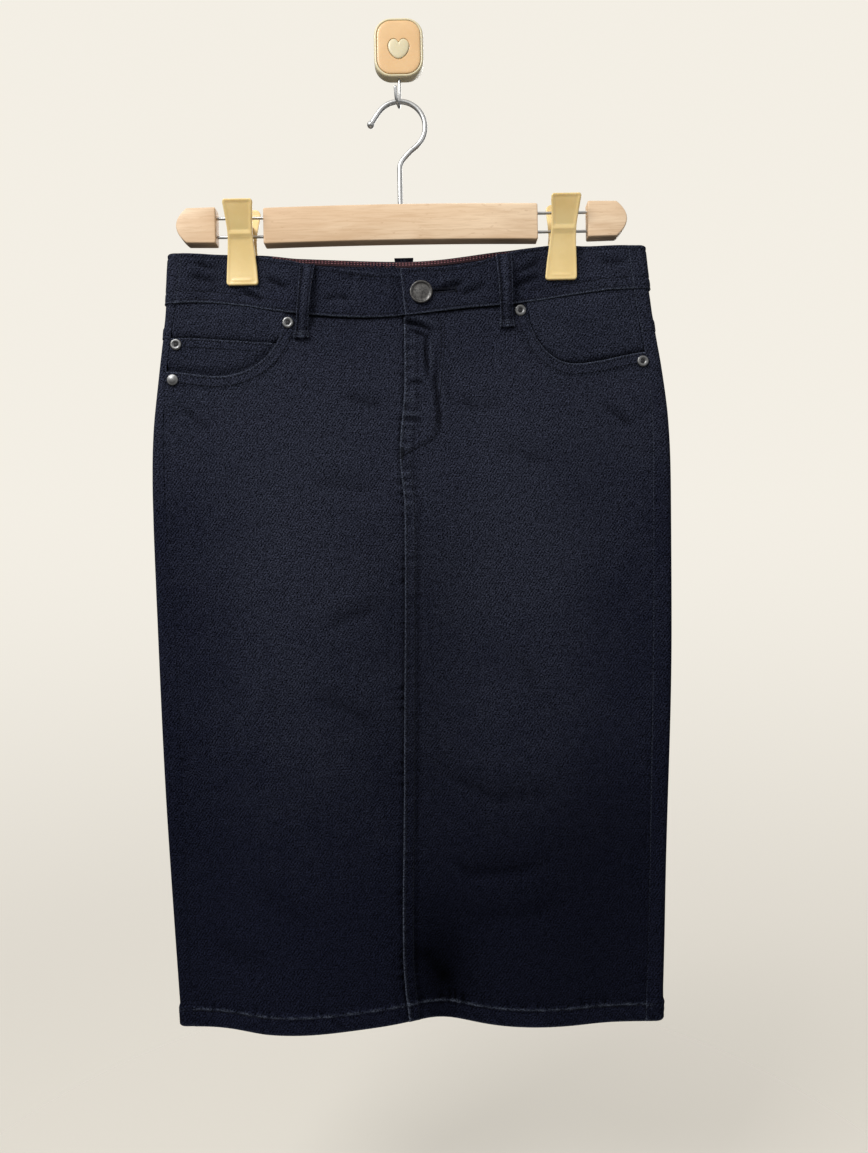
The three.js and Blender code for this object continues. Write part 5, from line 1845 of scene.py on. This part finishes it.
# %% Plastic recipes
def make_plastic(name, tone, thin_tone, roughness, inner_light, coat):
    """Moulded plastic: a faint flow in its colour, fine ripples, and light in its body."""
    material, plastic = new_material(name)
    place = plastic.node("ShaderNodeTexCoord", None, None, output=3)
    flow = plastic.noise(place, 45.0, 3.0)
    dust = plastic.noise(place, 900.0, 2.0, 0.7)
    base = plastic.blend(rgb(*tone), rgb(*thin_tone), flow.ease(0.3, 0.7))
    base = plastic.blend(base, rgb(0.95, 0.93, 0.88), dust.ease(0.66, 0.80) * 0.25)
    ripple_height = plastic.bump(flow * 0.8 + dust * 0.12, 0.00035, 0.45)
    finish_material(
        plastic,
        {
            "Base Color": base,
            "Roughness": roughness + 0.14 * dust,
            "Subsurface Weight": inner_light,
            "Subsurface Radius": (0.004, 0.003, 0.0015),
            "Subsurface Scale": 1.0,
            "Coat Weight": coat,
            "Coat Roughness": 0.12,
            "Normal": ripple_height,
        },
    )
    return material


CLIP_PLASTIC = make_plastic("yellow plastic", (0.77, 0.585, 0.275), (0.71, 0.525, 0.225), 0.30, 0.2, 0.2)
CREAM_PLASTIC = make_plastic("cream plastic", (0.66, 0.59, 0.40), (0.61, 0.54, 0.36), 0.34, 0.1, 0.15)
PEACH_PLASTIC = make_plastic("peach plastic", (0.70, 0.46, 0.235), (0.66, 0.42, 0.205), 0.28, 0.1, 0.25)


# %% [markdown]
# ## Button and rivets
# The button is a stamped cap with a raised rim round a shallow dish, on a short post through
# the buttonhole. A rivet is a small domed ring with a dark hole where its nail was driven
# through, and the left side one has a closed, domed head.


# %% Button and rivets
def stand_on_cloth(profile, x, depth, out, sides=40):
    """Circles from a profile of radius and height, standing square to the cloth."""
    foot = skirt_point(np.array(float(x)), np.array(float(depth)), np.array(float(out)))
    head = skirt_point(np.array(float(x)), np.array(float(depth)), np.array(float(out) + 1))
    up = head - foot
    up = up / np.linalg.norm(up)
    side = np.cross(up, [0.0, 0.0, 1.0])
    side = side / np.linalg.norm(side)
    other = np.cross(up, side)
    angles = np.linspace(0, 2 * math.pi, sides, endpoint=False)
    swing = np.outer(np.cos(angles), side) + np.outer(np.sin(angles), other)
    return [foot + up * height + swing * max(radius, 0.01) for radius, height in profile]


def arc(radius, height, start, stop, size, steps=5):
    """Part of a rounded corner as radius and height pairs."""
    angles = np.radians(np.linspace(start, stop, steps))
    return [(radius + size * math.cos(a), height + size * math.sin(a)) for a in angles]


button_profile = [(2.2, 0.0), (2.2, 2.6), (6.9, 2.75), (8.3, 2.9)]
button_profile += arc(8.3, 3.55, -60, 90, 0.72, 7)
button_profile += [(7.7, 4.22), (7.2, 3.95), (6.9, 3.62), (6.4, 3.50), (5.2, 3.55), (3.0, 3.72)]
button_profile += [(1.2, 3.80), (0.01, 3.82)]
loops = stand_on_cloth(button_profile, BUTTON_X, BUTTON_DEPTH, 0.3, 48)
skin("cap_button", loops, PEWTER, ["button"])

ring_profile = [(3.9, 0.0), (4.3, 0.25), (4.5, 0.7), (4.35, 1.15), (3.9, 1.45), (3.3, 1.55)]
ring_profile += [(2.6, 1.45), (2.1, 1.2), (1.75, 0.95), (1.45, 0.6), (1.2, 0.15), (0.01, 0.12)]
dome_profile = [(3.9, 0.0), (4.3, 0.25), (4.5, 0.7), (4.35, 1.1), (3.9, 1.3), (3.5, 1.32)]
dome_profile += [(3.1, 1.45), (2.4, 1.72), (1.4, 1.92), (0.01, 2.0)]
RIVETS = [
    ("rivet_left_top", -95.5, 56.5, "front_left", ring_profile),
    ("rivet_coin_pocket", -184.8, 72.3, "coin_patch", ring_profile),
    ("rivet_left_side", -188.2, 100.3, "front_left", dome_profile),
    ("rivet_right_top", 88.9, 49.9, "front_right", ring_profile),
    ("rivet_right_side", 184.6, 91.9, "front_right", ring_profile),
]
for node, x, depth, under, profile in RIVETS:
    out = float(outer_faces[under](np.array(float(x)), np.array(float(depth))))
    loops = stand_on_cloth(profile, x, depth, out - 0.25, 32)
    skin(node.replace("rivet", "stud"), loops, RIVET_METAL, [node])

# %% [markdown]
# The holes of the rivets are dark, because the nail's end lies deep in them. A small disc,
# near black as painted shadow, stands in each one.

# %% Rivet centres
hole_shadow_material, hole_shadow = new_material("painted hole shadow")
hole_shadow_place = hole_shadow.node("ShaderNodeTexCoord", None, None, output=3)
hole_shadow_grain = hole_shadow.noise(hole_shadow_place, 1500.0, 2.0)
# Painted shadow: the disc's colour is the dark of the deep hole.
hole_shadow_tone = hole_shadow.blend(rgb(0.008, 0.008, 0.010), rgb(0.03, 0.03, 0.034), hole_shadow_grain)
finish_material(hole_shadow, {"Base Color": hole_shadow_tone, "Roughness": 0.5 + 0.2 * hole_shadow_grain, "Metallic": 0.6})
for node, x, depth, under, profile in RIVETS:
    if profile is dome_profile:
        continue
    out = float(outer_faces[under](np.array(float(x)), np.array(float(depth))))
    nail = [(1.5, 0.2), (1.55, 0.5), (1.3, 0.72), (0.7, 0.8), (0.01, 0.82)]
    loops = stand_on_cloth(nail, x, depth, out - 0.2, 20)
    skin(node.replace("rivet", "nail"), loops, hole_shadow_material)
print("rivets:", len(RIVETS))

# %% [markdown]
# ## The wooden hanger
# The bar is a flat board of maple, a little higher in the middle, and each end block is a
# short board with a bowed end. All edges are eased with sandpaper. Each is a stack of the
# board's outline from front to back, drawn in a little at both faces to ease the edges.

# %% Boards
BAR = {"half": 109.0, "top": -134.0, "height": 28.7, "thickness": 12.0, "arch": 1.2}
END_BLOCKS = {"left": (146.8, 178.3), "right": (148.8, 180.0)}
END_BOW = 8.8


def board(name, outline, nodes):
    """A board from its outline in sideways and upright places."""
    outline = np.asarray(outline, float)
    middle = (outline.max(axis=0) + outline.min(axis=0)) / 2
    half = (outline.max(axis=0) - outline.min(axis=0)) / 2
    ease = 1.1
    front, back = HANG_Y - BAR["thickness"] / 2, HANG_Y + BAR["thickness"] / 2
    loops = []
    for turn in (90, 66, 42, 18, 0):
        drawn_in = ease * (1 - math.cos(math.radians(turn)))
        y = front + ease * (1 - math.sin(math.radians(turn)))
        loops.append((y, drawn_in))
    loops += [(front + back - y, drawn_in) for y, drawn_in in loops[::-1]]
    stack = []
    for y, drawn_in in loops:
        scale = (half - drawn_in) / half
        placed = middle + (outline - middle) * scale
        stack.append([(x + HANGER_X, y, z) for x, z in placed])
    return skin(name, stack, MAPLE, nodes)


def rounded_corners(outline, radius, steps=5):
    """Rounds the sharp corners of a closed outline."""
    outline = np.asarray(outline, float)
    made = []
    for before, here, after in zip(np.roll(outline, 1, 0), outline, np.roll(outline, -1, 0)):
        to_before, to_after = before - here, after - here
        long_before, long_after = np.linalg.norm(to_before), np.linalg.norm(to_after)
        turn = np.dot(to_before, to_after) / (long_before * long_after)
        if turn < -0.94:
            made.append(here)
            continue
        size = min(radius, 0.45 * long_before, 0.45 * long_after)
        start = here + to_before / long_before * size
        stop = here + to_after / long_after * size
        for share in np.linspace(0, 1, steps):
            made.append((1 - share) ** 2 * start + 2 * share * (1 - share) * here + share**2 * stop)
    return np.array(made)


low = BAR["top"] - BAR["height"]
across = np.linspace(-BAR["half"], BAR["half"], 41)
bow = BAR["arch"] * (1 - (across / BAR["half"]) ** 2) - BAR["arch"]
bar_outline = np.concatenate(
    [np.stack([across, low + bow], 1), np.stack([across, BAR["top"] + bow], 1)[::-1]]
)
board("bar", rounded_corners(bar_outline, 1.4), ["hanger_bar"])

for side in ("left", "right"):
    outward = -1 if side == "left" else 1
    inner, outer = END_BLOCKS[side]
    up = np.linspace(-0.97, 0.97, 25)
    nose = np.stack(
        [outward * (outer - END_BOW * up * up), (BAR["top"] + low) / 2 + up * BAR["height"] / 2], 1
    )
    outline = np.concatenate([[[outward * inner, low]], nose, [[outward * inner, BAR["top"]]]])
    board(f"end_{side}", rounded_corners(outline, 1.4), [f"hanger_end_{side}"])
print("boards: bar", 2 * BAR["half"], "mm long")

# %% [markdown]
# ## Wires
# The hook and the rods are round wire. The hook rises straight out of the bar, has a knee,
# leans out and turns over in a crook that ends in a small pressed ball.

# %% Rods and hook
ROD_RADIUS = 1.15
ROD_MIDDLE_Z = -148.7
WIRE_RADIUS = 2.0
CROOK_X, CROOK_RADIUS, CROOK_Z = 0.4, 20.4, -70.3

for side in ("left", "right"):
    outward = -1 if side == "left" else 1
    for level, z in (("upper", ROD_MIDDLE_Z + 7.5), ("lower", ROD_MIDDLE_Z - 7.5)):
        ends = [outward * (BAR["half"] - 39.7), outward * (END_BLOCKS[side][0] + 20)]
        path = [(x + HANGER_X, HANG_Y, z) for x in np.linspace(*ends, 24)]
        node = f"rod_{side}_{level}"
        skin(f"wire_{side}_{level}", wire_loops(path, ROD_RADIUS), STEEL, [node])


def on_crook(angle):
    a = math.radians(angle)
    return (CROOK_X + CROOK_RADIUS * math.cos(a), CROOK_Z + CROOK_RADIUS * math.sin(a))


start_x, start_z = on_crook(-44)
hook_points = [(0, BAR["top"] - 15.7), (0, BAR["top"]), (0, -107.7), (0.2, -101.7), (2.2, -97.2)]
hook_points.append((start_x * 0.55, mix(-98.7, start_z, 0.58)))
hook_points += [on_crook(angle) for angle in range(-44, 153, 16)]
hook_points.append((-22.6, -68.1))
hook_path = curve_through([(x + HANGER_X, HANG_Y, z) for x, z in hook_points], 9)
ball_path = [(-22.6 + HANGER_X, HANG_Y + y, -68.1) for y in 2.9 * np.sin(np.linspace(-1.45, 1.45, 13))]
ball_size = 2.9 * np.cos(np.linspace(-1.45, 1.45, 13))
hook_loops = wire_loops(hook_path, WIRE_RADIUS, 20)
ball_loops = wire_loops(ball_path, ball_size, 20, round_ends=False)
skin("hook", hook_loops, STEEL, ["hanger_hook"], more=[ball_loops])
print("hook wire:", round(float(np.linalg.norm(np.diff(hook_path, axis=0), axis=1).sum())), "mm")

# %% [markdown]
# ## The clips
# A clip is two moulded arms that rock on a block round the rods. An arm is waisted like an
# hourglass: its upper half has a sunk panel for the thumb with a rim round it, a ridge crosses
# its waist, and its lower half presses the cloth. Front and back arm are alike.

# %% Clip arms
ARM = {
    "at": [-47.5, -34, -24, -14, -6.2, 3, 13.9, 16.2],
    "stand": [3, 3.3, 4.2, 5.8, 8, 11, 14.8, 15.4],
    "half": [12.7, 11.9, 11, 10.2, 9.9, 10.6, 11.8, 12.1],
}
ARM_LOW, ARM_HIGH, BACK_ARM_RAISE = -47.5, 16.2, 4.5
CLIP_LEAN = {"left": -0.009, "right": 0.057}
ARM_THICK = 2.4


def clip_arm(side, face):
    toward = -1 if face == "front" else 1
    high = ARM_HIGH + (BACK_ARM_RAISE if face == "back" else 0)
    length = high - ARM_LOW
    rows = mesh_lines(length, 0.8)[:, None]
    up = high - rows * length
    columns = np.array([-1, -0.985, -0.95, -0.89, *np.linspace(-0.82, 0.82, 25), 0.89, 0.95, 0.985, 1])
    columns = columns[None, :]
    corner_size = mix(2.6, 4.5 if face == "back" else 2.6, smooth(0, 10, up))
    stand = read(ARM, "stand", up)
    half = read(ARM, "half", up)
    from_end = np.minimum(rows, 1 - rows) * length
    corner = np.clip(1 - from_end / corner_size, 0, 1)
    half = half - corner_size * (1 - np.sqrt(1 - corner * corner))
    across = half * columns
    edge = half * (1 - np.abs(columns))
    panel_edge = np.minimum(np.minimum(edge, high - up), up + 8.2)
    in_panel = smooth(1.2, 2.8, panel_edge)
    ridge = 0.45 * bell(up + 8.6, 0.7) * smooth(0.4, 2.0, edge)
    low_edge = np.minimum(np.minimum(edge, up - ARM_LOW), -up - 9.4)
    low_panel = smooth(1.1, 2.6, low_edge)
    pad = 0.35 * bell(up + 43.8, 1.2) * smooth(3.5, 6, edge)
    face_height = ridge + pad - 0.5 * in_panel - 0.35 * low_panel
    fall = soft_edge(np.minimum(edge, from_end), 0.9)
    x = CLIP_X[side] + HANGER_X + CLIP_LEAN[side] * up + across
    z = ROD_MIDDLE_Z + up + 0 * columns
    y_outer = HANG_Y + toward * (stand + ARM_THICK + face_height - fall)
    y_inner = HANG_Y + toward * (stand + fall * 0.6 + 0 * columns)
    outer = np.stack([x, y_outer, z], axis=-1)
    inner = np.stack([x, y_inner, z], axis=-1)
    points, faces = closed_shell(outer, inner)
    block = []
    for distance, drawn_in in ((0.15, 0.7), (0.4, 0.2), (0.9, 0), (10.6, 0)):
        wide, high = 6.5 - drawn_in, 6.05 - drawn_in
        corners = [(-wide, -high + 1.2), (-wide + 1.2, -high), (wide - 1.2, -high), (wide, -high + 1.2)]
        corners += [(-cx, -cz) for cx, cz in corners]
        ring = []
        for cx, cz in corners:
            reach = min(distance, float(read(ARM, "stand", cz)) + 1.2)
            ring.append((CLIP_X[side] + HANGER_X + cx, HANG_Y + toward * reach, ROD_MIDDLE_Z + cz))
        block.append(ring)
    base = len(points)
    block = np.array(block)
    more_faces = tube_faces(4, 8).tolist() + [[7, 6, 5, 4, 3, 2, 1, 0], list(range(24, 32))]
    if face == "back":
        more_faces = [shape[::-1] for shape in more_faces]
    faces += [[base + k for k in shape] for shape in more_faces]
    points = np.concatenate([points, block.reshape(-1, 3)])
    node = f"clip_{side}_{face}"
    return add_piece(f"arm_{side}_{face}", points, faces, CLIP_PLASTIC, [node])


for side in ("left", "right"):
    for face in ("front", "back"):
        clip_arm(side, face)
print("clip arms: 4")

# %% [markdown]
# ## The wall hook
# The plate is cream plastic with a rounded rim. A peach cover is let into it, and a cream
# heart is let into the cover. A bent wire comes out of its lower edge and carries the hanger.


# %% Wall hook
PLATE_WIDTH, PLATE_HEIGHT, PLATE_CORNER = 40.0, 48.0, 14.0
SIDES = 96


def by_angle(points, centre=(0.0, -1.5)):
    """Reads a closed outline again at even angles round a centre."""
    points = np.asarray(points, float) - centre
    angle = np.arctan2(points[:, 1], points[:, 0])
    order = np.argsort(angle)
    wanted = np.linspace(-math.pi, math.pi, SIDES, endpoint=False)
    distance = np.hypot(points[:, 0], points[:, 1])[order]
    reach = np.interp(wanted, angle[order], distance, period=2 * math.pi)
    return np.stack([reach * np.cos(wanted), reach * np.sin(wanted)], 1) + centre


def plate_outline(inset):
    wide, high = PLATE_WIDTH / 2 - inset, PLATE_HEIGHT / 2 - inset
    corner = PLATE_CORNER - inset
    points = []
    for cx, cz, start in ((1, 1, 0), (-1, 1, 90), (-1, -1, 180), (1, -1, 270)):
        for a in np.radians(np.linspace(start, start + 90, 40)):
            x = cx * (wide - corner) + corner * math.cos(a)
            points.append((x, cz * (high - corner) + corner * math.sin(a)))
    dense = []
    points = np.array(points)
    for here, after in zip(points, np.roll(points, -1, 0)):
        for share in np.linspace(0, 1, 6, endpoint=False):
            dense.append(mix(here, after, share))
    return by_angle(dense)


HEART_HALF = [(0, 5.6), (2.1, 7.8), (4.5, 8.3), (6.9, 7.0), (8.5, 4.5), (8.8, 1.3)]
HEART_HALF += [(7.7, -2.4), (5.3, -5.8), (2.6, -7.8), (0, -8.5)]


def heart_outline(inset):
    """The heart's outline, drawn in by a distance."""
    left = [(-x, z) for x, z in HEART_HALF[1:-1][::-1]]
    points = np.array([*HEART_HALF, *left], float)
    points = np.concatenate([points[-3:], points, points[:3]])
    smooth_line = curve_through([(x, 0, z) for x, z in points], 14)[:, [0, 2]]
    smooth_line = smooth_line[28:-28] + (0.0, -1.5)
    outline = by_angle(smooth_line)
    centre = np.array([0.0, -1.5])
    reach = np.linalg.norm(outline - centre, axis=1, keepdims=True)
    return centre + (outline - centre) * np.maximum(reach - inset, 0.05) / reach


def as_loop(outline, y):
    return [(x, y, z) for x, z in outline]


plate_steps = [(1.4, 0.0), (0.5, -0.35), (0.0, -1.2), (0.0, -8.2), (0.25, -9.2), (0.8, -9.85)]
plate_steps += [(1.4, -10.0), (1.9, -9.9), (2.15, -9.5), (2.2, -8.4)]
plate_loops = [as_loop(plate_outline(inset), y) for inset, y in plate_steps]
skin("hook_plate", plate_loops, CREAM_PLASTIC, ["wall_hook_plate"])

cover_steps = [(2.5, -8.7), (2.5, -9.7), (2.7, -10.05), (3.2, -10.22), (5.0, -10.3), (7.5, -10.34)]
cover_loops = [as_loop(plate_outline(inset), y) for inset, y in cover_steps]
cover_loops += [as_loop(mix(plate_outline(7.5), heart_outline(-1.2), 0.5), -10.35)]
cover_loops += [as_loop(heart_outline(-1.2), -10.35), as_loop(heart_outline(-0.5), -10.35)]
cover_loops += [as_loop(heart_outline(-0.3), -10.33), as_loop(heart_outline(-0.15), -10.2)]
cover_loops += [as_loop(heart_outline(0.0), -9.4)]
skin("hook_cover", cover_loops, PEACH_PLASTIC, ["wall_hook_cover"])

heart_steps = [(0.35, -9.55), (0.35, -10.2), (0.6, -10.5), (1.2, -10.72), (2.4, -10.85)]
heart_steps += [(4.5, -10.93), (6.5, -10.95)]
heart_loops = [as_loop(heart_outline(inset), y) for inset, y in heart_steps]
skin("hook_heart", heart_loops, CREAM_PLASTIC, ["wall_hook_heart"])

LOW_Z = CROOK_Z + CROOK_RADIUS - WIRE_RADIUS - SEAM_GAP - 1.25
wall_wire = [(-5.6, -18), (-5.6, -27), (-7.4, LOW_Z + 15), (-11.6, LOW_Z + 6)]
for angle in (-45, -20, 0, 25, 50, 72):
    a = math.radians(angle)
    wall_wire.append((HANG_Y - 6.5 * math.sin(a), LOW_Z + 6.5 - 6.5 * math.cos(a)))
wall_wire.append((HANG_Y - 7.7, LOW_Z + 11))
wall_path = curve_through([(0.0, y, z) for y, z in wall_wire], 8)
wall_path[:, 0] = -2.6 * (1 - smooth(-29, -18, wall_path[:, 1]))
wire_skin = wire_loops(wall_path, 1.25, 16)
skin("hook_wire", wire_skin, STEEL, ["wall_hook_wire"])
print("wall hook: plate", PLATE_WIDTH, "by", PLATE_HEIGHT, "mm")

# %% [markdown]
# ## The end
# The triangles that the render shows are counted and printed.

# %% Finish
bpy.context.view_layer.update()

triangles = 0
for made in bpy.data.objects:
    if made.type == "MESH" and not made.hide_render:
        triangles += sum(len(face.vertices) - 2 for face in made.data.polygons)
print("triangles shown:", triangles)
